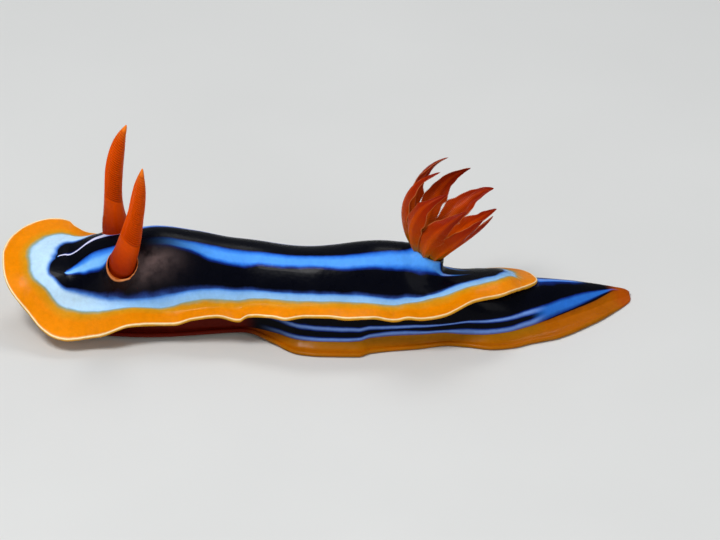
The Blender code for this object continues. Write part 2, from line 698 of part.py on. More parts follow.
def body_section(station):
    """One section of the foot and body: flat sole, thin flange, flank and roof."""
    half = along(FOOT_HALF, station)
    lift = along(FOOT_LIFT, station)
    wall = half * along(WALL_SHARE, station)
    roof = along(ROOF_Z, station)
    flange = along(FLANGE_Z, station)
    square = along(ROOF_SQUARE, station)
    edge = along(EDGE_THICK, station)
    low, rim, high = FLANGE_SHARES
    outline = [(-half * SOLE_SHARE, 0), (-half * low, lift), (-half * rim, lift + edge / 2),
               (-half * high, lift + edge)]
    for i in range(ROOF_STEPS + 1):
        a = math.pi * i / ROOF_STEPS
        c, s = math.cos(a), math.sin(a)
        out = -wall * math.copysign(abs(c) ** (2 / square), c)
        outline.append((out, flange + (roof - flange) * abs(s) ** (2 / square)))
    outline += [(-out, z) for out, z in reversed(outline[:4])]
    ahead = heading(FOOT_Y, station)
    aside = Vector((-ahead.y, ahead.x, 0))
    centre = place(station, along(FOOT_Y, station), 0)
    return [centre + aside * out + Vector((0, 0, z)) for out, z in outline]


def body_solid():
    """The foot, flanks and tail as one closed solid that reaches up into the mantle."""
    first = FOOT_HALF[0][0]
    stations = [first + (TIP_START - first) * i / BODY_STATIONS for i in range(BODY_STATIONS + 1)]
    return loft([body_section(station) for station in (*stations, *TIP_STATIONS)])


def cross_cuts(stations, table):
    """Thin upright slabs square to a midline, one at each station."""
    cuts = []
    for station in stations:
        ahead = heading(table, station)
        turn = Matrix.Rotation(math.atan2(ahead.y, ahead.x), 4, "Z")
        centre = place(station, along(table, station), CUT_CENTRE_Z)
        cuts.append(slab((GAP, CUT_REACH, CUT_REACH), centre, turn))
    return cuts


# The head

def head_skin(share, angle):
    """A point of the snout at a share of its length and an angle up from its right side."""
    first, span, power = SNOUT_SWELL
    swell = math.sin(math.pi * (first + span * share)) ** power
    station = HEAD_FRONT + (HEAD_BACK - HEAD_FRONT) * share
    return place(station, HEAD_Y + HEAD_HALF * swell * math.cos(angle),
                 HEAD_Z + HEAD_HIGH * swell * math.sin(angle))


def head_solid():
    """The snout, a rounded block."""
    turn = 2 * math.pi / HEAD_SIDES
    return loft([[head_skin(i / HEAD_STEPS, k * turn) for k in range(HEAD_SIDES)]
                 for i in range(HEAD_STEPS + 1)])


def mouth_frame():
    """The frame of the mouth, its Z running forwards and a little down."""
    return frame_at(place(HEAD_FRONT, HEAD_Y, HEAD_Z - MOUTH_SINK), Vector(MOUTH_AXIS))


def under_mantle(obj):
    """Cuts away what would reach into the mantle or come nearer to it than the gap."""
    combine(obj, [add_object("mantle_room", mantle_solid(GAP))], "DIFFERENCE")
    keep_largest(obj)
    return obj


def snout():
    """The snout with its ring of lips and the open mouth."""
    head = add_object("head", head_solid(), "head")
    frame = mouth_frame()
    outer = MOUTH_RADIUS + LIP_THICK
    lips = turned("lips", ((outer - LIP_ROUND, LIP_THICK),
                           (outer, LIP_THICK * 0.4),
                           (outer + LIP_ROUND, -LIP_SINK)), LIP_SIDES, frame)
    combine(head, [lips], "UNION")
    mouth = turned("mouth", ((MOUTH_RADIUS, 2 * LIP_THICK),
                             (MOUTH_RADIUS * 0.8, 0),
                             (MOUTH_FLOOR, -MOUTH_DEPTH)), MOUTH_SIDES, frame)
    combine(head, [mouth], "DIFFERENCE")
    paint(under_mantle(head), "head")


def oral_tentacle(name, angle):
    """One short tentacle beside the mouth, at an angle round the snout."""
    lie = Vector((ORAL_LIE[0], math.cos(angle), ORAL_LIE[1] * math.sin(angle))).normalized()
    root_point = head_skin(ORAL_SHARE, angle)
    frame = frame_at(root_point + lie * GAP, lie)
    tentacle = turned(name, ((ORAL_TIP * 0.5, ORAL_LENGTH),
                             (ORAL_TIP, ORAL_LENGTH * 0.93),
                             (ORAL_ROOT * 0.7, ORAL_LENGTH * 0.5),
                             (ORAL_ROOT, ORAL_LENGTH * 0.12),
                             (ORAL_ROOT * 0.9, 0)), ORAL_SIDES, frame, "head")
    paint(under_mantle(tentacle), "head")


for old in list(bpy.data.objects):
    bpy.data.objects.remove(old)
parts = bpy.data.collections.new("pyjama_slug")
cutters = bpy.data.collections.new("cutters")
bpy.context.scene.collection.children.link(parts)
bpy.context.scene.collection.children.link(cutters)
root = bpy.data.objects.new("pyjama_slug_root", None)
parts.objects.link(root)

# The mantle in four lengths
mantle = add_object("mantle", mantle_solid())
fittings = [sheath(RHINO_LEFT), sheath(RHINO_RIGHT), pocket()]
combine(mantle, [raised for raised, hollow in fittings], "UNION")
keep_largest(mantle)
hollows = [hollow for raised, hollow in fittings]
combine(mantle, hollows + cross_cuts(MANTLE_CUTS, SPINE_Y), "DIFFERENCE")
divide(mantle, ("mantle_head", "mantle_front", "mantle_middle", "mantle_rear"), ["mantle"] * 4)

# The body under it: the tail comes off first, then the foot is parted from the flanks
body = add_object("body", body_solid())
mantle_room = add_object("mantle_room", mantle_solid(GAP))
combine(body, [mantle_room] + cross_cuts(TAIL_CUT, FOOT_Y), "DIFFERENCE")
body, tail = divide(body, ("body", "tail"), (None, "flank"))
head_room = slab((HEAD_BACK, CUT_REACH, CUT_REACH),
                 place(HEAD_BACK / 2 + GAP, 0, FOOT_TOP + CUT_REACH / 2))
level = slab((LENGTH, CUT_REACH, GAP), place(LENGTH / 2, 0, FOOT_TOP + GAP / 2))
# EXACT leaves open edges where the level cut meets the thin flange
combine(body, [level, head_room] + cross_cuts(BODY_CUTS, FOOT_Y), "DIFFERENCE", "MANIFOLD")
body_names = ("foot_front", "body_front", "foot_middle", "body_middle", "foot_rear", "body_rear")
divide(body, body_names, ("orange", "flank") * 3)

# The head and its feelers
snout()
oral_tentacle("oral_tentacle_left", math.pi + ORAL_ANGLE)
oral_tentacle("oral_tentacle_right", -ORAL_ANGLE)
rhinophore("rhinophore_left", RHINO_LEFT)
rhinophore("rhinophore_right", RHINO_RIGHT)

# The gills round the anal papilla
circlet = gill_frame()
turned("gill_base", ((BASE_RADIUS - BASE_LIP, 0), (BASE_RADIUS, -2 * BASE_LIP),
                     (BASE_RADIUS, -BASE_THICK)), BASE_SIDES, circlet, "gill")
turned("anal_papilla", ((PAPILLA_RADIUS * 0.45, PAPILLA_HEIGHT),
                        (PAPILLA_RADIUS * 0.8, PAPILLA_HEIGHT * 0.8),
                        (PAPILLA_RADIUS, GAP)), PAPILLA_SIDES, circlet, "gill")
for number in range(GILL_COUNT):
    gill(number)
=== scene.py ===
# %% [markdown]
# # A pyjama slug
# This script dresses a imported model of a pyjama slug, a striped sea slug 50 mm long that crawls on its
# sole. The solids underneath are fixed: they say where each part of the animal lies. What is made here
# is what an eye sees, which is one seamless skin with its bands, two horns with fine leaves, and a
# crown of feathery gills. The head faces -X and the left side faces -Y. Single sizes are in metres, and
# each table says first in which units its two columns are.

import json
import math

import bmesh
import bpy
from mathutils import Matrix, Vector
from mathutils.bvhtree import BVHTree

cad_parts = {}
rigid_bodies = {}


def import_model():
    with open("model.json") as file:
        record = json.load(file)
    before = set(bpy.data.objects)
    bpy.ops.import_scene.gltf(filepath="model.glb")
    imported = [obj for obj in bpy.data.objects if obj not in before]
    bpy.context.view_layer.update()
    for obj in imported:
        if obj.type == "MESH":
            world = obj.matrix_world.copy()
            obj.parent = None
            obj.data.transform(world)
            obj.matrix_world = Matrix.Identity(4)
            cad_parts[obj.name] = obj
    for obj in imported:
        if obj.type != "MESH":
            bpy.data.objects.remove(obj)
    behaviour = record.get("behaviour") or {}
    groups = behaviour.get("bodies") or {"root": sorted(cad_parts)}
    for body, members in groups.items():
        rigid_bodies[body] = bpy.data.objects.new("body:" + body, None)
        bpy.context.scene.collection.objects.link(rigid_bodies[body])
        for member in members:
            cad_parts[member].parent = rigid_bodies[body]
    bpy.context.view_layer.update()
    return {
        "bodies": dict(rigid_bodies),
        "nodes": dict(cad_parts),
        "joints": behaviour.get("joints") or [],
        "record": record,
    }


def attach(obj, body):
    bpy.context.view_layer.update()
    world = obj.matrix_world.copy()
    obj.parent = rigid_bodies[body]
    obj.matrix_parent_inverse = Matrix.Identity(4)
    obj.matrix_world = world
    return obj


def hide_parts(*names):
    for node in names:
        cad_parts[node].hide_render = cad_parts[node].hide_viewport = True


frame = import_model()

# %% [markdown]
# ## Stations
# A soft animal has few straight lines, so its form is given by a handful of sizes at stations, which
# are distances from the front edge of the mantle. Between two stations a curve has to run smoothly and
# must not swing past its ends, as a plain spline would. A Hermite curve whose slopes are the harmonic
# means of its neighbours' does both.

# %% Read a table of sizes
MM = 0.001
PERCENT = 0.01
LENGTH = 0.0502
SIDE_SHIFT = -0.0011
STEP = 0.0002


def in_units(station_unit, size_unit, *rows):
    """A table of (station, size) rows in the units that are given first."""
    return tuple((station * station_unit, size * size_unit) for station, size in rows)


def along(table, station):
    """The value of a (station, value) table at a station, on a smooth curve that doesn't overshoot."""
    if station <= table[0][0]:
        return table[0][1]
    if station >= table[-1][0]:
        return table[-1][1]
    last = len(table) - 1
    i = max(k for k in range(last) if table[k][0] <= station)

    def rise(k):
        return (table[k + 1][1] - table[k][1]) / (table[k + 1][0] - table[k][0])

    def slope(k):
        before = rise(max(k - 1, 0))
        after = rise(min(k, last - 1))
        return 2 * before * after / (before + after) if before * after > 0 else 0

    span = table[i + 1][0] - table[i][0]
    t = (station - table[i][0]) / span
    blend = t * t * (3 - 2 * t)
    ends = slope(i) * (1 - t) - slope(i + 1) * t
    return table[i][1] * (1 - blend) + table[i + 1][1] * blend + ends * span * t * (1 - t)


def ease(low, high, value):
    """0 below low, 1 above high, and a smooth step between them."""
    t = min(max((value - low) / (high - low), 0), 1)
    return t * t * (3 - 2 * t)


def heading(table, station):
    """The unit direction, seen from above, of a midline whose y a table gives."""
    rise = (along(table, station + STEP) - along(table, station - STEP)) / (2 * STEP)
    return Vector((1, rise, 0)).normalized()


def place(station, y, z):
    """A point of the model, with the origin under the middle of the animal."""
    return Vector((station - LENGTH / 2, y + SIDE_SHIFT, z))


def frame_at(origin, axis, side=Vector((0, 1, 0))):
    """A frame at a point whose Z runs along an axis and whose X lies near a side direction."""
    z = axis.normalized()
    x = (side - z * side.dot(z)).normalized()
    turn = Matrix((x, z.cross(x), z)).transposed()
    return Matrix.Translation(origin) @ turn.to_4x4()


# %% [markdown]
# ## A grid that takes a shape
# Skin, horns and gills are all sheets that are rolled, arched or pinched shut. Each starts as a flat
# grid from create_grid, and every point of the grid is then moved to its place on the body. That keeps
# the faces in tidy rows, which shade well, and lets each point carry numbers that say where on the
# animal it lies. The colours are painted from those numbers later, so that a band follows the skin
# round every fold.

# %% Shape a grid
MARKS = ("band", "blue", "dusk", "collar", "pocket", "flank", "stripe", "tail", "along")
MERGE = 1e-7


def shaped_grid(across, up, shape, marks=MARKS):
    """A grid of points that shape(i, j) places and marks."""
    bm = bmesh.new()
    layers = {name: bm.verts.layers.float.new(name) for name in marks}
    bmesh.ops.create_grid(bm, x_segments=across, y_segments=up, size=0.5)
    for vert in bm.verts:
        i = round((vert.co.x + 0.5) * across)
        j = round((vert.co.y + 0.5) * up)
        vert.co, values = shape(i, j)
        for name, value in values.items():
            vert[layers[name]] = value
    return bm


def round_angle(i, sides):
    """The angle of a column of a grid that is rolled up, so that the last column meets the first."""
    return 2 * math.pi * (i % sides) / sides


def close(name, bm):
    """Joins the edges that meet, turns every face outwards and says how the piece came out."""
    bmesh.ops.remove_doubles(bm, verts=bm.verts[:], dist=MERGE)
    bmesh.ops.dissolve_degenerate(bm, edges=bm.edges[:], dist=MERGE)
    bmesh.ops.recalc_face_normals(bm, faces=bm.faces[:])
    print(name, "faces", len(bm.faces), "open edges", sum(not edge.is_manifold for edge in bm.edges))


def fill_ends(bm):
    """Joins the seam of a rolled grid and fills its open ends."""
    bmesh.ops.remove_doubles(bm, verts=bm.verts[:], dist=MERGE)
    bmesh.ops.contextual_create(bm, geom=[edge for edge in bm.edges if edge.is_boundary])


def add_object(name, bm, materials=()):
    """A smooth mesh object of a bmesh, which is freed."""
    mesh = bpy.data.meshes.new(name)
    bm.to_mesh(mesh)
    bm.free()
    mesh.shade_smooth()
    for material in materials:
        mesh.materials.append(material)
    obj = bpy.data.objects.new(name, mesh)
    bpy.context.scene.collection.objects.link(obj)
    return obj


# %% [markdown]
# ## The mantle
# The mantle is the striped back, a cloak with a free edge all round. It is built from ribs: each runs
# from the crest of the back out to the margin. Along the sides the ribs stand square to the spine, and
# at both ends they fan out from one point, as the spokes of an umbrella do. A rib knows how far it
# reaches, how far it falls, and how steep its arch is.

# %% Sizes of the mantle
SPINE_Y = in_units(
    MM, MM, (0, 1.3), (5, 1.05), (12, 1.25), (19, 1.5), (26, 0.15), (33, 0.2), (38.5, 0.8), (43, 1.7),
    (47, 2.6))
CREST_Z = in_units(
    MM, MM, (4.5, 5.9), (5.2, 5.9), (7.6, 7.15), (9.5, 7.65), (12.5, 8.3), (15.5, 7.9), (18.5, 7.3),
    (22, 7), (26, 7.35), (30, 7.85), (31.8, 7.7), (33.5, 6.5), (35, 5.5), (37, 5.05), (39, 4.95),
    (40, 4.95))
HALF_NEAR = in_units(
    MM, MM, (5, 6.21), (5.2, 6.21), (7.8, 6.1), (10, 5.4), (13, 4.8), (18, 4.6), (26, 4.65), (33, 4.5),
    (36.5, 3.9), (39, 3.3))
HALF_FAR = in_units(
    MM, MM, (5, 5.1), (5.2, 5.07), (5.6, 4.66), (6, 4.4), (6.4, 4.2), (6.8, 4.15), (7.5, 4.3),
    (8.5, 4.5), (10, 4.5), (13, 4.6), (18, 4.6), (26, 4.65), (33, 4.5), (36.5, 4), (39, 3.7))
DROP_NEAR = in_units(
    MM, MM, (4.5, 2.4), (5.2, 2.4), (7.8, 4), (9.5, 4.3), (13, 5.2), (18, 4.4), (22, 3.7), (26, 3.55),
    (31, 4.3), (35, 1.9), (37.2, 0.8), (39, 0.7))
DROP_FAR = in_units(
    MM, MM, (4.5, 1.3), (5.2, 1.3), (7.8, 3.3), (9.5, 3.8), (13, 4.8), (18, 4.4), (22, 3.7), (26, 3.55),
    (31, 4.4), (35.4, 2.4), (38, 1.2))
ROLL = in_units(
    MM, 1, (4.5, 22), (5.2, 22), (9, 14), (13, 8), (20, 0), (32, 0), (37, -7), (39, -8), (40, -8))
ARCH_HALF = in_units(
    MM, MM, (4.5, 3.3), (5.2, 3.3), (10, 3.5), (14, 3.6), (20, 3.4), (33, 3.3), (37, 2.6), (39, 2.2))
CORE_DEPTH = in_units(MM, MM, (5.2, 1.5), (9, 2.6), (14, 3.2), (32, 3.1), (35.2, 1.4), (39, 1))
FRONT_FOCUS = 0.0052
REAR_FOCUS = 0.0390
FRONT_OUTLINE = in_units(
    1, MM, (-90, 6.21), (-80, 6), (-70, 5.62), (-60, 5.2), (-50, 4.93), (-40, 4.88), (-20, 5.03),
    (0, 5.16), (10, 5.3), (20, 5.5), (35, 5.63), (50, 5.64), (70, 5.54), (80, 5.4), (90, 5.07))
REAR_OUTLINE = in_units(
    1, MM, (-90, 3.3), (-80, 3.05), (-65, 2.7), (-45, 2.5), (-30, 2.52), (-15, 2.8), (0, 3.55),
    (8, 3.8), (20, 3.9), (40, 4.02), (60, 3.9), (75, 3.78), (90, 3.7))
REAR_REACH = 0.0040
FRONT_DROP = 0.0009
REAR_DROP = 0.0012
ARCH_MIX = 0.5
ARCH_BLEND = 0.0007
SKIRT_SLOPE = 0.22
SKIRT_SLOPE_SHARE = 0.35
RUFFLE_START = 0.5
RIM_THICK = 0.00022
NECK_THICK = 0.0010
NECK_SHARE = 0.66
RUFFLE_NEAR = in_units(
    MM, MM, (9.8, 0), (12.1, -0.29), (13.5, -0.29), (15.1, 0.18), (17, 0.29), (19, -0.24), (20.7, 0.09),
    (22.7, 0.15), (23.7, -0.04), (24.9, 0.25), (26.2, 0.13), (27.4, -0.11), (28.8, 0.04), (29.7, 0.16),
    (31.1, 0.05), (32.3, 0.1), (34, 0))
RUFFLE_FAR = in_units(
    MM, MM, (9, 0), (11.5, -0.15), (13.2, 0.1), (15.4, -0.15), (17.6, 0.15), (19.8, -0.1), (22, 0.15),
    (24.2, -0.12), (26.4, 0.15), (28.6, -0.12), (30.6, 0.1), (32.6, 0))
SIDE_LENGTHS = in_units(MM, 1, (5.2, 0), (7.2, 16), (11.8, 78), (31, 188), (37.6, 258), (39, 266))
CAP_STEPS = 64

# %% Ribs


def side_rib(station, side):
    """The rib that runs out to one margin from a station of the crest; the near side is -1."""
    half = HALF_NEAR if side < 0 else HALF_FAR
    drop = DROP_NEAR if side < 0 else DROP_FAR
    return dict(station=station, ahead=0, across=side, reach=along(half, station),
                drop=along(drop, station), side=side, path=station)


def cap_rib(rear, angle):
    """The rib at an angle from straight ahead, or from straight behind; -90 is the near side."""
    focus = REAR_FOCUS if rear else FRONT_FOCUS
    level = REAR_DROP if rear else FRONT_DROP
    a = math.radians(angle)
    side = -1 if angle < 0 else 1
    flank = side_rib(focus, side)
    reach = along(REAR_OUTLINE if rear else FRONT_OUTLINE, angle)
    drop = level + (flank["drop"] - level) * math.sin(a) ** 2
    turned = abs(angle) / 90
    path = REAR_FOCUS + REAR_REACH * (1 - turned) if rear else FRONT_FOCUS * turned
    return dict(station=focus, ahead=math.cos(a) * (1 if rear else -1), across=math.sin(a),
                reach=reach, drop=drop, side=side, path=path)


def finish_rib(rib):
    """Works out once what every point of a rib needs."""
    station = rib["station"]
    rib["arch"] = along(ARCH_HALF, station)
    rib["core"] = along(CORE_DEPTH, station)
    rib["low"] = arch_height(rib, rib["reach"])
    rib["high"] = arch_height(rib, 0)
    rib["forward"] = heading(SPINE_Y, station)
    rib["roll"] = math.radians(along(ROLL, station))
    rib["crest"] = place(station, along(SPINE_Y, station), along(CREST_Z, station))
    rib["ruffle"] = along(RUFFLE_NEAR if rib["side"] < 0 else RUFFLE_FAR, station)
    return rib


def arch_height(rib, out):
    """Height of the arched back over its margin, before it is scaled to the rib's own drop."""
    drop, reach = rib["drop"], rib["reach"]
    q = (out / rib["arch"]) ** 2
    arch = drop * (1 - ARCH_MIX * q - (1 - ARCH_MIX) * q * q)
    skirt = min(SKIRT_SLOPE, SKIRT_SLOPE_SHARE * drop / reach) * (reach - out)
    return 0.5 * (arch + skirt + math.hypot(arch - skirt, ARCH_BLEND))


def top_drop(rib, share):
    """How far the upper side lies under the crest at a share of the rib."""
    height = arch_height(rib, share * rib["reach"])
    fall = rib["drop"] * (1 - (height - rib["low"]) / (rib["high"] - rib["low"]))
    edge = max(0, (share - RUFFLE_START) / (1 - RUFFLE_START)) ** 2
    return fall - rib["ruffle"] * edge * abs(rib["across"])


def under_drop(rib, share):
    """How far the under side lies under the crest at a share of the rib."""
    if share >= NECK_SHARE:
        inward = (1 - share) / (1 - NECK_SHARE)
        return top_drop(rib, share) + RIM_THICK + (NECK_THICK - RIM_THICK) * inward
    neck = under_drop(rib, NECK_SHARE)
    return rib["core"] + (neck - rib["core"]) * (share / NECK_SHARE) ** 2


def rib_point(rib, share, drop):
    """A point at a share of a rib and a drop under the crest, in the mantle's rolled frame."""
    forward = rib["forward"]
    aside = Vector((-forward.y, forward.x, 0))
    roll = rib["roll"]
    out = share * rib["reach"] * rib["across"]
    lateral = out * math.cos(roll) + drop * math.sin(roll)
    rise = out * math.sin(roll) - drop * math.cos(roll)
    ahead = share * rib["reach"] * rib["ahead"]
    return rib["crest"] + forward * ahead + aside * lateral + Vector((0, 0, rise))


def mantle_ribs():
    """Ribs all round: near margin backwards, rear, far margin forwards, front, and the first again."""
    stations = []
    for (start, low), (end, high) in zip(SIDE_LENGTHS, SIDE_LENGTHS[1:]):
        stations += [start + (end - start) * k / (high - low) for k in range(high - low)]
    stations.append(REAR_FOCUS)
    ribs = [side_rib(station, -1) for station in stations]
    ribs += [cap_rib(True, -90 + 180 * i / CAP_STEPS) for i in range(1, CAP_STEPS)]
    ribs += [side_rib(station, 1) for station in reversed(stations)]
    ribs += [cap_rib(False, 90 - 180 * i / CAP_STEPS) for i in range(1, CAP_STEPS)]
    ribs.append(ribs[0])
    return [finish_rib(rib) for rib in ribs]


ribs = mantle_ribs()
print("ribs", len(ribs))

# %% [markdown]
# ## Where the bands run
# From the crest outwards the back is black, blue, black, pale and orange, with a white hem. Where one
# colour gives way to the next is written as a share of the rib, for a few places along the body. The
# path runs from 0 at the very front, past the side of the body, to 43 mm at the very rear. The rings of
# the grid are laid along these borders, so that a colour never cuts across a face. The near and the far
# side differ, because a living animal isn't quite even and this one rolls a little.

# %% Borders of the bands
BLACK_END_NEAR = in_units(
    MM, PERCENT, (0, 19), (4.6, 19), (5.2, 16), (5.9, 11), (6.8, 8), (9, 8), (12.2, 10), (15.6, 16),
    (19.1, 20), (21.5, 16), (24.5, 15), (27.4, 20), (28.7, 21), (31.5, 15), (32.5, 9), (33.4, 15),
    (34.3, 21), (35.6, 17), (37.1, 11), (38, 8), (39, 3), (43, 3))
BLUE_END_NEAR = in_units(
    MM, PERCENT, (0, 20), (4.6, 20), (5.2, 21), (5.9, 23), (6.8, 29), (9, 34), (10.4, 25), (12.2, 25),
    (15, 31), (16.4, 40), (19.1, 44), (21.4, 39), (25, 37), (27.4, 43), (31.9, 44), (33.2, 41),
    (34, 35), (34.6, 29), (36, 19), (37.1, 12), (38, 9), (39, 4), (43, 4))
PALE_START_NEAR = in_units(
    MM, PERCENT, (0, 21), (1.4, 30), (2.5, 36), (4, 34), (5.5, 37), (6.6, 43), (8.6, 53), (10.1, 61),
    (12.6, 67), (14.7, 66), (17.8, 64), (24, 62.5), (26.8, 64), (31.2, 66.5), (32.5, 66), (34, 61),
    (35.4, 50), (37.4, 36), (39, 25), (43, 25))
ORANGE_START_NEAR = in_units(
    MM, PERCENT, (0, 60), (1.2, 61), (2.4, 58), (3.6, 55), (5.2, 57), (6.6, 64), (8.6, 67),
    (10.6, 71.5), (12.6, 75.5), (14.7, 73), (19, 71), (22.7, 69), (26.8, 70.5), (29.2, 71.5),
    (31.9, 71.5), (34.5, 64), (36.2, 59), (37.8, 54), (39, 48), (41, 52), (43, 60))
BLACK_END_FAR = in_units(
    MM, PERCENT, (0, 15), (0.6, 15), (3.5, 10), (5.2, 9), (5.9, 13), (6.8, 19), (9, 20), (12.2, 20),
    (15.6, 24), (24.5, 25), (28.7, 27), (31.5, 22), (33.5, 14), (36, 8), (38, 3), (43, 3))
BLUE_END_FAR = in_units(
    MM, PERCENT, (0, 16.5), (0.6, 16.5), (3.5, 12), (5.2, 11.5), (5.9, 16), (6.8, 24.5), (9, 33),
    (12.2, 42), (16.1, 48), (24.5, 46), (28.7, 49), (31.9, 45), (33.7, 36), (35.2, 24), (37.5, 10),
    (39, 4), (43, 4))
PALE_START_FAR = in_units(
    MM, PERCENT, (0, 21), (0.6, 18), (2.1, 18), (3.3, 25), (4.5, 32), (5.5, 40), (6.6, 45), (8.6, 52),
    (10.1, 60), (12.6, 66), (17.8, 65), (31.9, 64), (33.2, 64), (35.4, 74), (36.8, 86), (38.8, 86),
    (40, 56), (41.2, 30), (43, 25))
ORANGE_START_FAR = in_units(
    MM, PERCENT, (0, 60), (1.6, 64), (4.2, 65), (6.3, 68), (8.6, 68), (10.6, 71), (12.6, 74), (19, 71),
    (26.1, 69), (31.9, 72), (34.5, 74), (35.6, 86), (36.8, 95.5), (39.6, 95.5), (40.8, 80), (42, 58),
    (43, 55))
LEAST_BAND = 0.004
HEM_START = 0.976
HEM_TURN = 0.992
BAND_RINGS = (5, 12, 15, 10, 10, 3)
UNDER_RINGS = 14


def borders(rib):
    """The shares of a rib at which one colour gives way to the next, from the crest to the hem."""
    tables = (BLACK_END_FAR, BLUE_END_FAR, PALE_START_FAR, ORANGE_START_FAR)
    if rib["side"] < 0:
        tables = (BLACK_END_NEAR, BLUE_END_NEAR, PALE_START_NEAR, ORANGE_START_NEAR)
    found = [0]
    for table in tables:
        found.append(max(found[-1] + LEAST_BAND, along(table, rib["path"])))
    return found + [HEM_START, HEM_TURN]


def band_rings():
    """The band coordinate of each ring: 1 is the first border from the crest, 2 the next, and so on."""
    rings = [0]
    for band, count in enumerate(BAND_RINGS):
        rings += [band + (k + 1) / count for k in range(count)]
    return rings


rings = band_rings()
for rib in ribs:
    rib["borders"] = borders(rib)
print("rings on the upper side", len(rings))

# %% [markdown]
# ## Collars on the back
# Each horn stands in a collar, and the gills rise from a pocket with a raised rim. These are folds of
# the same skin, so they aren't separate rings set on top: the points of the grid near the root are
# drawn together and lifted to follow a profile, up over the lip and down inside. The profile is given
# as three tables over the distance from the root: the new distance, the height, and how much of the
# back's own arch is kept.
#
# The collar follows its horn, so the horns are placed first. Each has a place on the mantle, a tip, a
# lean at either end and its own girth. Below the leaves it may swell, the foot of the near one is
# tucked in to stand clear of its collar, and the foot of the far one flares out.

# %% Where the horns stand
RHINO_LEFT = dict(side=-1, station=0.0094, share=0.385, tip=(0.01145, -0.0019, 0.01585),
                  root_lean=0.40, tip_lean=0.12, girth=0.94, swell=0.20, tuck=0.15, flare=0)
RHINO_RIGHT = dict(side=1, station=0.0092, share=0.42, tip=(0.01005, 0.0034, 0.01685),
                   root_lean=-0.12, tip_lean=0.42, girth=1.04, swell=-0.10, tuck=0, flare=0.22)
RHINO_SINK = 0.0007
RHINO_EASE = 0.36
SHEATH_LEAN = 0.5


def surface_at(side, station, share):
    """A point on the upper side of the mantle and the direction square to it."""
    rib = finish_rib(side_rib(station, side))
    further = share + STEP / rib["reach"]
    here = rib_point(rib, share, top_drop(rib, share))
    outer = rib_point(rib, further, top_drop(rib, further))
    after = finish_rib(side_rib(station + STEP, side))
    behind = rib_point(after, share, top_drop(after, share))
    normal = (outer - here).cross(behind - here).normalized()
    return here, -normal if normal.z < 0 else normal


def bezier(start, first, second, end):
    """A function that gives the points of a cubic curve from its four control points."""
    def point(t):
        u = 1 - t
        return start * u ** 3 + first * (3 * t * u * u) + second * (3 * t * t * u) + end * t ** 3

    return point


def direction(point, t):
    """The unit direction of a curve at t."""
    step = 0.01
    return (point(min(t + step, 1)) - point(max(t - step, 0))).normalized()


def rhino_curve(spec):
    """Root on the mantle, direction at the root, the skin's own direction, and the midline."""
    root, normal = surface_at(spec["side"], spec["station"], spec["share"])
    tip = place(*spec["tip"])
    aside = (tip.y - root.y) / (tip.z - root.z)
    axis = Vector((spec["root_lean"], aside, 1)).normalized()
    end_axis = Vector((spec["tip_lean"], aside, 1)).normalized()
    start = root - axis * RHINO_SINK
    reach = (tip - start).length * RHINO_EASE
    return root, axis, normal, bezier(start, start + axis * reach, tip - end_axis * reach, tip)


# %% Where the gills rise
GILL_STATION = 0.0338
GILL_CENTRE_Z = 0.0070
GILL_TILT = 28


def gill_frame():
    """The frame of the gill circlet: its Z is the axis, its X points to the rear."""
    centre = place(GILL_STATION, along(SPINE_Y, GILL_STATION), GILL_CENTRE_Z)
    tilt = math.radians(GILL_TILT)
    return frame_at(centre, Vector((math.sin(tilt), 0, math.cos(tilt))), Vector((1, 0, 0)))


# %% Profiles of the collars
SHEATH_RADIUS = in_units(
    MM, MM, (0, 0), (0.4, 0.9), (0.6, 1.08), (0.8, 1.13), (0.92, 1.15), (1.01, 1.18), (1.12, 1.23),
    (1.24, 1.29), (1.4, 1.4), (1.7, 1.7), (2, 2))
SHEATH_HEIGHT = in_units(
    MM, MM, (0, -0.6), (0.4, -0.6), (0.6, -0.4), (0.8, 0.12), (0.92, 0.36), (1.01, 0.42), (1.12, 0.37),
    (1.24, 0.24), (1.4, 0.1), (1.7, 0.02), (2, 0))
SHEATH_KEEP = in_units(MM, PERCENT, (0.8, 20), (1.12, 60), (1.6, 100))
HIGH_SHEATH = 2.2
LOW_SHEATH = 0.15
SHEATH_LIP = (0.00088, 0.00100, 0.00104, 0.00122)
TINY = 1e-6
POCKET_RADIUS = in_units(
    MM, MM, (0, 0), (0.6, 1), (0.9, 1.21), (1.1, 1.27), (1.2, 1.3), (1.3, 1.35), (1.4, 1.43),
    (1.52, 1.54), (1.7, 1.7), (2, 2), (2.4, 2.4))
POCKET_HEIGHT = in_units(
    MM, MM, (0, -1.2), (0.6, -1.2), (0.9, -0.9), (1.1, -0.3), (1.2, 0.18), (1.3, 0.32), (1.4, 0.28),
    (1.52, 0.14), (1.7, 0.04), (2, 0), (2.4, 0))
POCKET_KEEP = in_units(MM, PERCENT, (1.2, 0), (1.4, 10), (1.7, 60), (2, 90), (2.4, 100))
POCKET_LIP = (0.00112, 0.00124, 0.00136, 0.0015)

circlet = gill_frame()
circlet_axis = circlet.to_3x3() @ Vector((0, 0, 1))
collars = []
for spec, rise in ((RHINO_LEFT, HIGH_SHEATH), (RHINO_RIGHT, LOW_SHEATH)):
    root, axis, normal = rhino_curve(spec)[:3]
    profile = (SHEATH_RADIUS, in_units(1, rise, *SHEATH_HEIGHT), SHEATH_KEEP)
    collars.append(("collar", root, (axis + normal * SHEATH_LEAN).normalized(), profile, SHEATH_LIP))
collars.append(("pocket", circlet.translation, circlet_axis,
                (POCKET_RADIUS, POCKET_HEIGHT, POCKET_KEEP), POCKET_LIP))
for collar in collars:
    print(collar[0], "at", [round(value / MM, 2) for value in collar[1]], "mm")


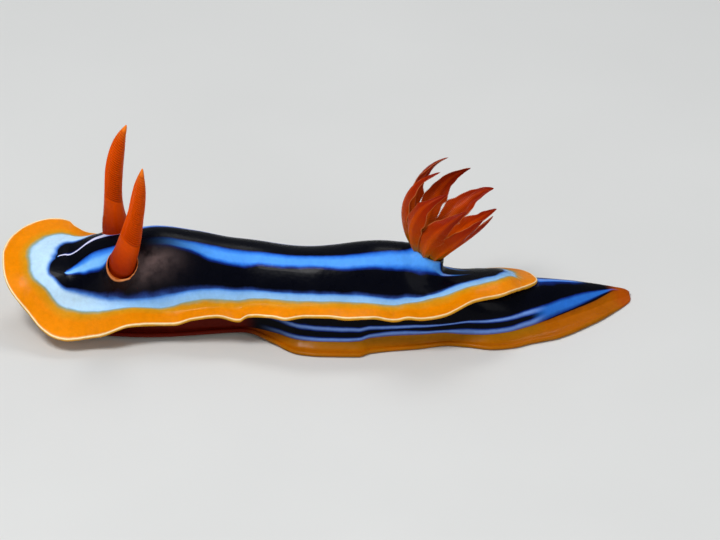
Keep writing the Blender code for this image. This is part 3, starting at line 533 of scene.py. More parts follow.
def lift_fold(point, root, axis, profile):
    """Where a point goes when a fold is raised round a root, and how far from the root it was."""
    radius, height, keep = profile
    reach = radius[-1][0]
    away = point - root
    up = away.dot(axis)
    flat = away - axis * up
    distance = flat.length
    if distance >= reach or abs(up) > reach:
        return point, reach
    spread = along(radius, distance) / max(distance, TINY)
    lifted = up * along(keep, distance) + along(height, distance)
    return root + flat * spread + axis * lifted, distance


# %% [markdown]
# ## The upper and the under side
# Now the grid can take its shape. Its rows run over the back, round the hem and back under the mantle
# to the crest, so the cloak is one closed surface. A dusky patch behind the near horn, where the black
# is washed with brown, is marked as well.

# %% The skin of the mantle
HEM_RINGS = 3
RIM_BAND = 6
UNDER_BAND = 6.2
INNER_BAND = 7
DUSK_CENTRE = (0.0117, 0.42)
DUSK_SPREAD = (0.0019, 0.13)
STRIPE_ENDS = (0.0350, 0.0376)
NEAR_STRIPE_STARTS = (0.0112, 0.0178)
NEAR_STRIPE_PALES = (0.0338, 0.0362)
NEAR_PALER = 0.6
NEAR_FRONT_STARTS = (0.0046, 0.0050)
NEAR_FRONT_ENDS = (0.0092, 0.0102)
FAR_STRIPE_STARTS = (0.0012, 0.0020)
FAR_WHITE_ENDS = (0.0076, 0.0094)


def share_of(rib, band):
    """The share of a rib at a band coordinate."""
    i = min(int(band), len(rib["borders"]) - 2)
    start, end = rib["borders"][i], rib["borders"][i + 1]
    return start + (end - start) * (band - i)


def blue_strength(rib):
    """How blue the stripe is: 0 is missing, 1 is blue and 2 is nearly white."""
    path = rib["path"]
    before_end = 1 - ease(*STRIPE_ENDS, path)
    if rib["side"] > 0:
        return ease(*FAR_STRIPE_STARTS, path) * (before_end + 1 - ease(*FAR_WHITE_ENDS, path))
    front = ease(*NEAR_FRONT_STARTS, path) * (1 - ease(*NEAR_FRONT_ENDS, path))
    paler = 1 + NEAR_PALER * ease(*NEAR_STRIPE_PALES, path)
    return front + ease(*NEAR_STRIPE_STARTS, path) * before_end * paler


def dusk_at(rib, share):
    """How much brown lies over the black behind the horns."""
    x = (rib["path"] - DUSK_CENTRE[0]) / DUSK_SPREAD[0]
    y = (share - DUSK_CENTRE[1]) / DUSK_SPREAD[1]
    return math.exp(-(x * x + y * y)) if rib["ahead"] == 0 else 0


def mantle_point(i, j):
    """The place and marks of a point of the mantle's grid."""
    rib = ribs[i]
    marks = dict(blue=blue_strength(rib), along=rib["path"])
    if j < len(rings):
        band = rings[j]
        share = share_of(rib, band)
        point = rib_point(rib, share, top_drop(rib, share))
        marks["dusk"] = dusk_at(rib, share)
        for name, root, axis, profile, lip in collars:
            point, distance = lift_fold(point, root, axis, profile)
            mark = 2 - ease(*lip[:2], distance) - ease(*lip[2:], distance)
            marks[name] = max(marks.get(name, 0), mark)
    elif j < len(rings) + HEM_RINGS:
        turned = (j - len(rings) + 1) / (HEM_RINGS + 1)
        top, under = top_drop(rib, HEM_TURN), under_drop(rib, HEM_TURN)
        share = HEM_TURN + (1 - HEM_TURN) * math.sin(math.pi * turned)
        drop = (top + under) / 2 - (under - top) / 2 * math.cos(math.pi * turned)
        point = rib_point(rib, share, drop)
        band = RIM_BAND + (UNDER_BAND - RIM_BAND) * turned
    else:
        inward = (j - len(rings) - HEM_RINGS) / (UNDER_RINGS - 1)
        share = HEM_TURN * (1 - inward)
        point = rib_point(rib, share, under_drop(rib, share))
        band = UNDER_BAND + (INNER_BAND - UNDER_BAND) * inward
    marks["band"] = band
    return point, marks


mantle = shaped_grid(len(ribs) - 1, len(rings) + HEM_RINGS + UNDER_RINGS - 1, mantle_point)
close("mantle", mantle)

# %% [markdown]
# ## Foot, flanks and tail
# Under the cloak the body is a loft of sections. Each section starts in the middle of the sole, goes
# out to the edge of the foot, over its thin orange flange and up the flank to the ridge, and comes down
# the other side alike. As on the mantle, the rows of the grid follow the stripes: two thin blue lines
# on black, which run together into one wedge on the tail.

# %% Sizes of the foot and flanks
FOOT_Y = in_units(
    MM, MM, (4, 1), (12, 1), (19, 1.4), (24.4, 0.1), (28.7, 0), (33, 0.2), (38.4, 0.9), (42, 2),
    (45.7, 3.5), (48, 4.7), (49.2, 5.25), (50.2, 5.6))
FOOT_HALF = in_units(
    MM, MM, (6.2, 1.1), (6.8, 1.9), (8, 2.6), (12, 3), (19, 2.7), (20.6, 2.6), (22.6, 3.1), (24.3, 4.2),
    (25.6, 4.36), (28.4, 4.36), (29.3, 3.8), (30.8, 3.5), (32.9, 3.3), (34.9, 3), (36.4, 3.4),
    (38.4, 4.2), (39.5, 4.3), (41, 4.1), (42.5, 4.1), (43.5, 3.9), (45.5, 3.2), (47, 2.6), (48.6, 1.9),
    (49.5, 1.4), (50, 0.9), (50.2, 0.3))
FOOT_LIFT = in_units(MM, MM, (8, 0.4), (19, 0.5), (24.4, 0), (50.2, 0))
WALL_SHARE = in_units(
    MM, PERCENT, (6.2, 70), (12, 82), (20, 88), (24.4, 76), (28.4, 76), (30.8, 82), (34.9, 86),
    (36.4, 80), (38.4, 72), (41, 66), (43.5, 58), (45.5, 55), (47, 50), (48.6, 42), (50.2, 40))
ROOF_Z = in_units(
    MM, MM, (6.2, 3), (9, 5.8), (12.5, 6.2), (32, 6), (34.8, 4.8), (38, 4.3), (42, 3.5), (43.8, 3.1),
    (45.7, 2.5), (47.5, 1.7), (49, 1), (49.9, 0.6), (50.2, 0.35))
ROOF_SQUARE = in_units(MM, 1, (6.2, 2.4), (12, 4), (34, 4), (42, 1.9), (45.7, 1.6), (50.2, 1.7))
FLANGE_Z = in_units(MM, MM, (6.2, 0.7), (12, 0.85), (42, 0.85), (47.5, 0.5), (50.2, 0.2))
EDGE_THICK = in_units(MM, MM, (6.2, 0.3), (12, 0.4), (45.7, 0.4), (50.2, 0.15))
SOLE_SHARE = 0.6
ORANGE_TOP = in_units(
    MM, PERCENT, (27.5, 0), (31.2, 5.5), (34.6, 5.5), (36.9, 0), (40.5, 0), (43, 8), (45, 18),
    (46.4, 26), (47.5, 40), (48.7, 72))
LOW_START = in_units(
    MM, PERCENT, (27.5, 1), (31.2, 6.5), (34.6, 6.6), (36.9, 1), (40, 1), (41, 2), (43, 13), (45, 26),
    (47.1, 50), (48, 66), (48.7, 85))
LOW_END = in_units(
    MM, PERCENT, (20, 10), (27.5, 8), (31.2, 14.5), (34.6, 12.5), (36.9, 16), (38.9, 16), (41, 21),
    (42, 28), (43, 36), (45, 44), (47.1, 58), (48, 70), (48.7, 87))
HIGH_START = in_units(
    MM, PERCENT, (20, 24), (27.5, 18), (31.2, 17.5), (34.6, 21.5), (36.9, 30), (41, 33), (42, 35),
    (43, 37), (45, 46), (47.1, 59), (48, 71), (48.7, 88))
HIGH_END = in_units(
    MM, PERCENT, (20, 32), (27.5, 27.5), (31.2, 25), (34.6, 26.5), (36.9, 37), (38.9, 43), (41, 50),
    (43, 58), (45, 68), (47.1, 78), (48, 83), (48.7, 91))
RIDGE_START = 0.985
FLANK_TOP = 0.95
EDGE_SHARE = 0.93
FLANGE_SAG = 0.22
EDGE_MARKS = (0.9, 1.1)
ROOT_MARK = 1.95
RIDGE_MARK = 8
BODY_STATIONS = 330
SOLE_STEPS = 6
EDGE_STEPS = 6
FLANGE_STEPS = 8
FLANK_STEPS = (3, 5, 5, 5, 10, 3)

# %% Sections of the body


def flank_borders(station):
    """The heights on the flank, as shares from its root to the ridge, where the colours change."""
    found = [0]
    for table in (ORANGE_TOP, LOW_START, LOW_END, HIGH_START, HIGH_END):
        highest = FLANK_TOP + LEAST_BAND * len(found)
        found.append(min(max(found[-1] + LEAST_BAND, along(table, station)), highest))
    return found[1:] + [RIDGE_START, 1]


def half_outline(station):
    """Points (out, height, colour mark) from the middle of the sole to the ridge."""
    half = along(FOOT_HALF, station)
    lift = along(FOOT_LIFT, station)
    wall = half * along(WALL_SHARE, station)
    roof = along(ROOF_Z, station)
    flange = along(FLANGE_Z, station)
    square = along(ROOF_SQUARE, station)
    edge = along(EDGE_THICK, station)
    below, above = EDGE_MARKS
    points = [(half * SOLE_SHARE * k / SOLE_STEPS, 0, 0) for k in range(SOLE_STEPS)]
    for k in range(EDGE_STEPS):
        t = k / EDGE_STEPS
        points.append((half * (SOLE_SHARE + (EDGE_SHARE - SOLE_SHARE) * t), lift * t, below * t))
    for k in range(EDGE_STEPS):
        t = k / EDGE_STEPS
        out = half * (EDGE_SHARE + (1 - EDGE_SHARE) * math.sin(math.pi * t))
        rise = lift + edge * (1 - math.cos(math.pi * t)) / 2
        points.append((out, rise, below + (above - below) * t))
    for k in range(FLANGE_STEPS):
        t = k / FLANGE_STEPS
        out = half * EDGE_SHARE * (1 - t) + wall * t
        sag = flange * FLANGE_SAG * math.sin(math.pi * t) * (1 - t)
        points.append((out, (lift + edge) * (1 - t) + flange * t - sag, above + (2 - above) * t))
    heights = flank_borders(station)
    low = 0
    for band, (high, steps) in enumerate(zip(heights, (1,) + FLANK_STEPS)):
        for k in range(steps):
            share = low + (high - low) * k / steps
            mark = 1 + band + k / steps if band else ROOT_MARK
            points.append((*flank_point(share, wall, flange, roof, square), mark))
        low = high
    points.append((0, roof, RIDGE_MARK))
    return points


def flank_point(share, wall, flange, roof, square):
    """The way out and the height of a point of the flank."""
    return wall * max(0, 1 - share ** square) ** (1 / square), flange + (roof - flange) * share


outline_count = len(half_outline(0.03))
body_rows = []
first = FOOT_HALF[0][0]
for i in range(BODY_STATIONS + 1):
    station = first + (LENGTH - first) * i / BODY_STATIONS
    forward = heading(FOOT_Y, station)
    aside = Vector((-forward.y, forward.x, 0))
    centre = place(station, along(FOOT_Y, station), 0)
    body_rows.append((station, half_outline(station), centre, aside))
print("points in half a section", outline_count)

# %% [markdown]
# The ridge of the body would come out through the back where the mantle is thin. So a ray is cast down
# on the mantle above each point, and a point that lies higher than the flesh of the mantle is lowered
# into it.

# %% The skin of the body
ROOF_ROOM = 0.0004
ABOVE_ALL = 0.03
STRIPES_START = (0.0210, 0.0250)
STRIPES_JOIN = (0.0412, 0.0428)
back = BVHTree.FromBMesh(mantle)


def under_the_back(point):
    """The point itself, or one below it that lies inside the mantle's flesh."""
    top = back.ray_cast(Vector((point.x, point.y, ABOVE_ALL)), Vector((0, 0, -1)))[0]
    if top and point.z > top.z - ROOF_ROOM:
        return Vector((point.x, point.y, top.z - ROOF_ROOM))
    return point


def body_point(i, j):
    """The place and marks of a point of the body's grid; j runs right round the section."""
    station, outline, centre, aside = body_rows[i]
    side = -1 if j < outline_count else 1
    out, height, colour = outline[j] if side < 0 else outline[2 * outline_count - 2 - j]
    marks = dict(flank=colour, stripe=ease(*STRIPES_START, station),
                 tail=ease(*STRIPES_JOIN, station), along=station)
    return under_the_back(centre + aside * (side * out) + Vector((0, 0, height))), marks


body = shaped_grid(BODY_STATIONS, 2 * outline_count - 2, body_point)
bmesh.ops.remove_doubles(body, verts=body.verts[:], dist=MERGE)
for front in (True, False):
    rim = [edge for edge in body.edges if edge.is_boundary and (edge.verts[0].co.x < 0) == front]
    bmesh.ops.contextual_create(body, geom=rim)
close("body", body)

# %% [markdown]
# ## The head
# The snout peeps out under the front of the mantle. It has a round mouth between soft lips, and a short
# feeler on each side that the animal tastes with. The grid of the snout starts in the mouth, rolls over
# the lips and runs back over the cheeks. The feelers are drawn out of the same skin, with the tool that
# raised the collars.

# %% Sizes of the head
HEAD_FRONT = 0.0040
HEAD_BACK = 0.0078
HEAD_Y = 0.0011
HEAD_Z = 0.0031
HEAD_HALF = 0.0021
HEAD_HIGH = 0.0018
SNOUT_SWELL = (0.10, 0.52, 0.6)
MOUTH_SINK = 0.0003
MOUTH_AXIS = (-1, 0, -0.15)
MOUTH_ROWS = in_units(
    MM, MM, (0, -0.6), (0.12, -0.6), (0.26, -0.45), (0.33, -0.2), (0.36, 0.04), (0.41, 0.18),
    (0.49, 0.26), (0.58, 0.27), (0.66, 0.22), (0.71, 0.12), (0.74, 0.02))
LIP_FOLDS = 11
LIP_FOLD = 0.05
CHEEK_ROWS = 4
CHEEK_SHARE = 0.015
CHEEK_BULGE = 0.00012
SNOUT_ROWS = 46
HEAD_SIDES = 112
ORAL_LENGTH = 0.0019
ORAL_SHARE = 0.16
ORAL_ANGLE = 0.45
ORAL_LIE = (-0.9, 0.8)
ORAL_RADIUS = in_units(
    MM, MM, (0, 0), (0.08, 0.12), (0.16, 0.22), (0.26, 0.31), (0.42, 0.43), (0.56, 0.52), (0.7, 0.64),
    (1, 1))
ORAL_HEIGHT = in_units(
    MM, MM, (0, 1.9), (0.08, 1.87), (0.16, 1.76), (0.26, 1.4), (0.42, 0.8), (0.56, 0.3), (0.7, 0.06),
    (1, 0))
ORAL_KEEP = in_units(MM, PERCENT, (0.42, 0), (1, 100))


def snout_point(share, angle):
    """A point of the snout at a share of its length and an angle up from its right side."""
    start, span, power = SNOUT_SWELL
    swell = math.sin(math.pi * (start + span * share)) ** power
    station = HEAD_FRONT + (HEAD_BACK - HEAD_FRONT) * share
    return place(station, HEAD_Y + HEAD_HALF * swell * math.cos(angle),
                 HEAD_Z + HEAD_HIGH * swell * math.sin(angle))


mouth = frame_at(place(HEAD_FRONT, HEAD_Y, HEAD_Z - MOUTH_SINK), Vector(MOUTH_AXIS))
feelers = []
for angle in (math.pi + ORAL_ANGLE, -ORAL_ANGLE):
    lie = Vector((ORAL_LIE[0], math.cos(angle), ORAL_LIE[1] * math.sin(angle))).normalized()
    feelers.append((snout_point(ORAL_SHARE, angle), lie, (ORAL_RADIUS, ORAL_HEIGHT, ORAL_KEEP)))

# %% The skin of the head


def head_point(i, j):
    """The place and marks of a point of the head's grid; j runs from the mouth to the neck."""
    angle = round_angle(i, HEAD_SIDES)
    last = len(MOUTH_ROWS) - 1
    radius, height = MOUTH_ROWS[min(j, last)]
    if j > 1:
        radius *= 1 + LIP_FOLD * math.cos(LIP_FOLDS * angle)
    lip = mouth @ Vector((radius * math.cos(angle), -radius * math.sin(angle), height))
    if j <= last:
        return lip, {}
    step = j - last
    if step <= CHEEK_ROWS:
        t = step / (CHEEK_ROWS + 1)
        bulge = Vector((-CHEEK_BULGE * math.sin(math.pi * t), 0, 0))
        point = lip.lerp(snout_point(CHEEK_SHARE, angle), t) + bulge
    else:
        backward = (step - CHEEK_ROWS - 1) / (SNOUT_ROWS - 1)
        point = snout_point(CHEEK_SHARE + (1 - CHEEK_SHARE) * backward, angle)
    tip = 0
    for feeler in feelers:
        before = point
        point = lift_fold(point, *feeler)[0]
        tip = max(tip, (point - before).length / ORAL_LENGTH)
    return point, dict(collar=tip)


head = shaped_grid(HEAD_SIDES, len(MOUTH_ROWS) + CHEEK_ROWS + SNOUT_ROWS - 1, head_point)
fill_ends(head)
close("head", head)

# %% [markdown]
# ## One skin
# Mantle, body and head are joined into one piece, so the animal has one skin and no seam. A face keeps
# the number of its finish in the list of materials when they are joined. The finishes themselves follow
# further down, so an empty material of each name is enough to start with.

# %% Join the skin


def new_finish(name):
    """An empty material."""
    material = bpy.data.materials.new(name)
    material.use_nodes = True
    return material


def add_into(bm, other, slot):
    """Adds the faces of another bmesh, with their marks and a material's slot, and frees it."""
    for face in other.faces:
        face.material_index = slot
    copy = bpy.data.meshes.new("copy")
    other.to_mesh(copy)
    other.free()
    bm.from_mesh(copy)
    bpy.data.meshes.remove(copy)


skin_finishes = [new_finish(name) for name in ("mantle_skin", "flank_skin", "head_skin")]
add_into(mantle, body, 1)
add_into(mantle, head, 2)
skin = add_object("skin", mantle, skin_finishes)
print("skin triangles", sum(len(p.vertices) - 2 for p in skin.data.polygons))

# %% [markdown]
# ## The horns
# The two horns, called rhinophores, are the animal's nose. Each has a smooth stalk and a club of thin
# slanted leaves that catch scents in the water. A club could be a stack of rings, but on the animal the
# leaves grow together in front and behind. So it is one rolled grid: its radius follows a saw of fine
# grooves that are deep at the sides and shallow in front and behind, and each ring of the grid is
# tipped, which gives the slant.

# %% Sizes of the horns
STALK_SHARE = 0.36
HORN_RADIUS = in_units(
    1, MM, (0, 1), (0.06, 1.01), (0.14, 0.97), (0.2, 0.89), (0.33, 0.8), (0.45, 0.74), (0.6, 0.7),
    (0.7, 0.66), (0.8, 0.57), (0.9, 0.37), (0.95, 0.22), (0.98, 0.12), (0.993, 0.07), (1, 0.01))
HORN_SIDES = 72
LEAVES = 31
LEAVES_END = 0.93
LEAF_RINGS = 6
LEAF_DEPTH = 0.20
LEAF_LEAST = 0.22
LEAF_SPREAD = 0.6
LEAF_SLANT = 26
GROOVE_SHARP = 1.6
GROOVE_FADE = 6
SLANT_FADE = 1.5
SWELL_ENDS = (0.36, 0.62)
TUCK_ENDS = (0.05, 0.11)
FLARE_ENDS = (0.05, 0.34)
STALK_RINGS = 34
TIP_RINGS = 16
HORN_MARKS = ("height", "groove")


def horn_rings():
    """The share of the horn's length, the groove's depth and the slant of every ring."""
    found = [(STALK_SHARE * k / STALK_RINGS, 0, k / STALK_RINGS) for k in range(STALK_RINGS)]
    pitch = (LEAVES_END - STALK_SHARE) / LEAVES
    for leaf in range(LEAVES):
        for k in range(LEAF_RINGS):
            depth = abs(math.cos(math.pi * k / LEAF_RINGS)) ** GROOVE_SHARP
            found.append((STALK_SHARE + pitch * (leaf + k / LEAF_RINGS), depth, 1))
    for k in range(TIP_RINGS + 1):
        t = k / TIP_RINGS
        share = LEAVES_END + (1 - LEAVES_END) * t
        found.append((share, (1 - t) ** GROOVE_FADE, (1 - t) ** SLANT_FADE))
    return found


# %% Build the horns


def make_horn(name, spec):
    """One horn, as a rolled grid that is closed at both ends."""
    curve = rhino_curve(spec)[3]
    found = horn_rings()
    frames = [frame_at(curve(t), direction(curve, t)) for t, depth, slant in found]

    def horn_point(i, j):
        t, groove, slant = found[j]
        angle = round_angle(i, HORN_SIDES)
        x, y = math.cos(angle), math.sin(angle)
        cut = groove * (LEAF_LEAST + (1 - LEAF_LEAST) * abs(x) ** LEAF_SPREAD)
        swell = 1 + spec["swell"] * (1 - ease(*SWELL_ENDS, t))
        tuck = spec["tuck"] * (1 - ease(*TUCK_ENDS, t))
        flare = spec["flare"] * (1 - ease(*FLARE_ENDS, t))
        radius = along(HORN_RADIUS, t) * spec["girth"] * swell * (1 - tuck + flare)
        reach = radius * (1 - LEAF_DEPTH * cut)
        tipped = y * reach * math.tan(math.radians(LEAF_SLANT)) * slant
        return frames[j] @ Vector((x * reach, y * reach, tipped)), dict(height=t, groove=cut)

    bm = shaped_grid(HORN_SIDES, len(found) - 1, horn_point, HORN_MARKS)
    fill_ends(bm)
    close(name, bm)
    return add_object(name, bm)


horn_left = make_horn("horn_left", RHINO_LEFT)
horn_right = make_horn("horn_right", RHINO_RIGHT)

# %% [markdown]
# ## The gills
# Nine plumes stand in a ring round the vent, and the animal breathes with them. Each is a stem with a
# close row of thin lamellae down either side, and in the water they lie together like the tongues of a
# flame. Hundreds of loose leaflets would leave gaps, so a plume is one rolled grid: flat, cupped
# inwards, with a rib for the stem. Its edge is cut by the lamellae, its width follows slow waves that
# differ from one plume to the next, and its margins are frilled.

# %% Sizes of the gills
GILL_RING = 0.00079
GILL_COUNT = 9
GILL_FIRST = 20
GILL_LENGTHS = (0.0066, 0.0076, 0.0076, 0.0079, 0.0074, 0.0069, 0.0066, 0.0064, 0.0065)
GILL_OPENINGS = (24, 37, 25, 28, 27, 27, 24, 22, 20)
GILL_BOWS = (0.9, 0.95, 1.0, 0.97, 1.02, 1.05, 0.95, 0.95, 0.85)
GILL_SWEEP = 7
GILL_LOW = (0.23, 0.25)
GILL_LOW_LEAN = -8
GILL_HIGH = (0.58, 0.44)
GILL_HIGH_LEAN = 18
GILL_GAP = 0.0003
PLUME_HALF = in_units(
    1, MM, (0, 0.3), (0.08, 0.37), (0.2, 0.62), (0.35, 0.9), (0.48, 0.98), (0.62, 0.84), (0.75, 0.58),
    (0.86, 0.36), (0.94, 0.2), (0.98, 0.1), (1, 0.01))
PLUME_THICK = in_units(
    1, MM, (0, 0.24), (0.1, 0.22), (0.3, 0.13), (0.8, 0.09), (0.97, 0.05), (1, 0.01))
STEM_RISE = in_units(1, MM, (0, 0.06), (0.2, 0.16), (0.7, 0.1), (1, 0))
STEM_WIDTH = 0.28
PLUME_SIDES = 24
LAMELLAE = 60
LAMELLA_RINGS = 4
LAMELLA_CUT = 0.08
LAMELLAE_FROM = (0.10, 0.25)
PLUME_CUP = 0.27
LAMELLA_THIN = 0.45
TUFT = 0.06
TUFT_WAVES = ((1, 17, 1), (0.7, 31, 2), (0.4, 53, 1))
FRILL = 0.08
FRILL_WAVES = 26
FRILL_PHASE = 1.7
PLUME_PHASE = 1.3
SIDE_PHASE = 2.2
RAGGED_FROM = (0.15, 0.4)
CUPPED_FROM = (0.05, 0.3)
GILL_MARKS = ("height", "reach", "groove")


def leaning(angle):
    """The unit direction that leans back from upright by an angle."""
    return Vector((math.sin(math.radians(angle)), 0, math.cos(math.radians(angle))))


def gill_curve(index):
    """The midline of a gill and its outward direction."""
    angle = math.radians(GILL_FIRST + 360 * index / GILL_COUNT)
    outward = circlet.to_3x3() @ Vector((math.cos(angle), math.sin(angle), 0))
    start = circlet.translation + outward * GILL_RING
    root = start + circlet_axis * GILL_GAP
    opening = math.radians(GILL_OPENINGS[index])
    length = GILL_LENGTHS[index]
    lie = circlet_axis * math.cos(opening) + outward * math.sin(opening)
    lie.rotate(Matrix.Rotation(math.radians(GILL_SWEEP), 3, "Y"))
    tip = circlet.translation + lie * length
    bow = outward * GILL_BOWS[index]
    first = root + (leaning(GILL_LOW_LEAN) * GILL_LOW[0] + bow * GILL_LOW[1]) * length
    second = root + (leaning(GILL_HIGH_LEAN) * GILL_HIGH[0] + bow * GILL_HIGH[1]) * length
    return bezier(start, first, second, tip), outward


# %% Build the gills


def make_gill(index):
    """One plume, as a rolled grid that is closed at both ends."""
    name = "plume_%d" % (index + 1)
    curve, outward = gill_curve(index)
    across = circlet_axis.cross(outward).normalized()
    last = LAMELLAE * LAMELLA_RINGS
    shares = [j / last for j in range(last + 1)]
    frames = [frame_at(curve(t), direction(curve, t), across) for t in shares]
    if (frames[0].to_3x3() @ Vector((0, 1, 0))).dot(outward) < 0:
        frames = [frame @ Matrix.Rotation(math.pi, 4, "Z") for frame in frames]

    def plume_point(i, j):
        t = shares[j]
        angle = round_angle(i, PLUME_SIDES)
        x, y = math.cos(angle), math.sin(angle)
        edge = abs(x)
        ragged = ease(*RAGGED_FROM, t)
        cut = (0.5 + 0.5 * math.cos(2 * math.pi * j / LAMELLA_RINGS)) * ease(*LAMELLAE_FROM, t)
        phase = PLUME_PHASE * index + SIDE_PHASE * (1 if x > 0 else -1)
        tuft = sum(share * math.sin(waves * t + shift * phase) for share, waves, shift in TUFT_WAVES)
        half = along(PLUME_HALF, t) * (1 + TUFT * tuft * ragged) * (1 - LAMELLA_CUT * cut * edge ** 2)
        thick = along(PLUME_THICK, t) * (1 - LAMELLA_THIN * cut * edge ** 0.5)
        stem = along(STEM_RISE, t) * math.exp(-(x / STEM_WIDTH) ** 2)
        frill = FRILL * math.sin(FRILL_WAVES * t + FRILL_PHASE * phase) * ragged
        cup = PLUME_CUP * ease(*CUPPED_FROM, t)
        deep = y * (thick + stem) + (frill - cup) * half * x * x
        return frames[j] @ Vector((half * x, deep, 0)), dict(height=t, reach=edge, groove=cut)

    bm = shaped_grid(PLUME_SIDES, last, plume_point, GILL_MARKS)
    fill_ends(bm)
    close(name, bm)
    return add_object(name, bm)


plumes = [make_gill(index) for index in range(GILL_COUNT)]

# %% [markdown]
# ## The floor of the gills
# The plumes grow from a low cushion inside the pocket, and in its middle stands the vent, a short soft
# tube. Both are round, so each is a profile that is spun about the axis of the circlet.

# %% Build the cushion and the vent
CUSHION = in_units(
    MM, MM, (0.02, 0.02), (0.3, 0.04), (0.6, 0.1), (0.85, 0.06), (0.98, -0.06), (1.04, -0.2),
    (1.05, -0.7))
VENT = in_units(
    MM, MM, (0.1, 1.2), (0.15, 1.55), (0.21, 1.6), (0.28, 1.54), (0.32, 1.3), (0.34, 0.8), (0.38, 0.3),
    (0.44, 0.02))
SPIN_STEPS = 64
FLOOR_TONE = 0.05
TONE_RISE = 40


def make_spun(name, profile):
    """A piece spun from a profile of (radius, height) about the axis of the circlet."""
    bm = bmesh.new()
    points = [bm.verts.new((radius, 0, height)) for radius, height in profile]
    for before, after in zip(points, points[1:]):
        bm.edges.new((before, after))
    bmesh.ops.spin(bm, geom=bm.verts[:] + bm.edges[:], cent=(0, 0, 0), axis=(0, 0, 1),
                   angle=2 * math.pi, steps=SPIN_STEPS, use_merge=True)
    bmesh.ops.holes_fill(bm, edges=[edge for edge in bm.edges if edge.is_boundary], sides=0)
    close(name, bm)
    layers = [bm.verts.layers.float.new(mark) for mark in GILL_MARKS]
    for vert in bm.verts:
        vert[layers[0]] = FLOOR_TONE + TONE_RISE * vert.co.z
    bmesh.ops.transform(bm, matrix=circlet, verts=bm.verts[:])
    return add_object(name, bm)


cushion = make_spun("gill_cushion", CUSHION)
vent = make_spun("vent", VENT)

# %% [markdown]
# ## Finishes
# Wet skin is never one flat colour. Its gloss comes from a film of water, its blacks are a deep navy,
# and light goes a little way into it. Each finish below is a Principled shader whose colour is read
# from the marks that the grid carries, through colour ramps. On the mantle and the flanks the marks are
# shaken a little by noise first, so that no border is ruler-straight. Colours are given as they look on
# a screen, from 0 to 255, and turned into the linear values that the shader works with.

# %% Helpers for finishes


def screen(red, green, blue):
    """A linear colour from screen values between 0 and 255."""
    def linear(value):
        value /= 255
        return value / 12.92 if value <= 0.04045 else ((value + 0.055) / 1.055) ** 2.4

    return (linear(red), linear(green), linear(blue), 1)


def add_node(tree, kind, inputs=(), **settings):
    """A node; its inputs are pairs of a name or number and a value or the socket that feeds it."""
    node = tree.nodes.new("ShaderNode" + kind)
    for name, value in settings.items():
        setattr(node, name, value)
    for key, value in inputs:
        if isinstance(value, bpy.types.NodeSocket):
            tree.links.new(value, node.inputs[key])
        else:
            node.inputs[key].default_value = value
    return node


def sum_up(tree, operation, first, second, clamp=False):
    """The result of one sum on two values or sockets."""
    node = add_node(tree, "Math", ((0, first), (1, second)), operation=operation, use_clamp=clamp)
    return node.outputs[0]


def times(tree, first, *others):
    """The product of two or more values or masks."""
    for other in others:
        first = sum_up(tree, "MULTIPLY", first, other)
    return first


def read_mark(tree, name):
    """The socket of a mark that the grid carries."""
    return add_node(tree, "Attribute", attribute_name=name, attribute_type="GEOMETRY").outputs["Fac"]


def noise_on_piece(tree, scale, detail, **settings):
    """The value of a noise that lies still on a piece."""
    where = add_node(tree, "TexCoord").outputs["Object"]
    inputs = [("Vector", where), ("Scale", scale), ("Detail", detail)] + list(settings.items())
    return add_node(tree, "TexNoise", inputs).outputs["Fac"]


def tones(*stops):
    """Stops of a ramp from rows of (value, red, green, blue)."""
    return tuple((value, screen(*colour)) for value, *colour in stops)


def ramp(tree, value, span, stops):
    """The colour that a value from 0 to span has on a ramp of (value, colour) stops."""
    node = add_node(tree, "ValToRGB", ((0, sum_up(tree, "DIVIDE", value, span)),))
    elements = node.color_ramp.elements
    while len(elements) > 1:
        elements.remove(elements[-1])
    elements[0].position = stops[0][0] / span
    elements[0].color = stops[0][1]
    for position, colour in stops[1:]:
        elements.new(position / span).color = colour
    return node.outputs["Color"]


def blend(tree, share, first, second):
    """Two colours mixed by a share."""
    inputs = (("Factor", share), (6, first), (7, second))
    return add_node(tree, "Mix", inputs, data_type="RGBA").outputs[2]


def lay_over(tree, colour, coats):
    """A colour with coats of (mask, colour) laid over it one by one."""
    for mask, coat in coats:
        colour = blend(tree, mask, colour, coat)
    return colour


def fade(tree, value, low, high):
    """0 below low, 1 above high and smooth between."""
    node = add_node(tree, "MapRange", (("Value", value), ("From Min", low), ("From Max", high)),
                    interpolation_type="SMOOTHSTEP")
    return node.outputs["Result"]


def between(tree, value, rise, fall):
    """1 between a smooth rise and a smooth fall, and 0 outside."""
    return times(tree, fade(tree, value, *rise), fade(tree, value, *reversed(fall)))


# %% [markdown]
# Every finish of the animal shows the same fine grain of wet skin: a slight unevenness in colour, a
# film of water that is thinner in places, and tiny bumps. So this is one node group, and each material
# places it with its own values. A second group shakes a mark by noise, for the borders of the mantle
# and of the flanks, and gives the noise too, because a patch may follow it.

# %% The wet skin group


def new_group(name, inputs, outputs):
    """A shader node group with its sockets, and the nodes at its two ends."""
    group = bpy.data.node_groups.new(name, "ShaderNodeTree")
    for way, sockets in (("INPUT", inputs), ("OUTPUT", outputs)):
        for socket, kind in sockets:
            group.interface.new_socket(socket, in_out=way, socket_type="NodeSocket" + kind)
    return group, group.nodes.new("NodeGroupInput"), group.nodes.new("NodeGroupOutput")


BROAD_GRAIN = 420.0
COLOUR_SWING = 3.0
BUMP_HEIGHT = 0.00012

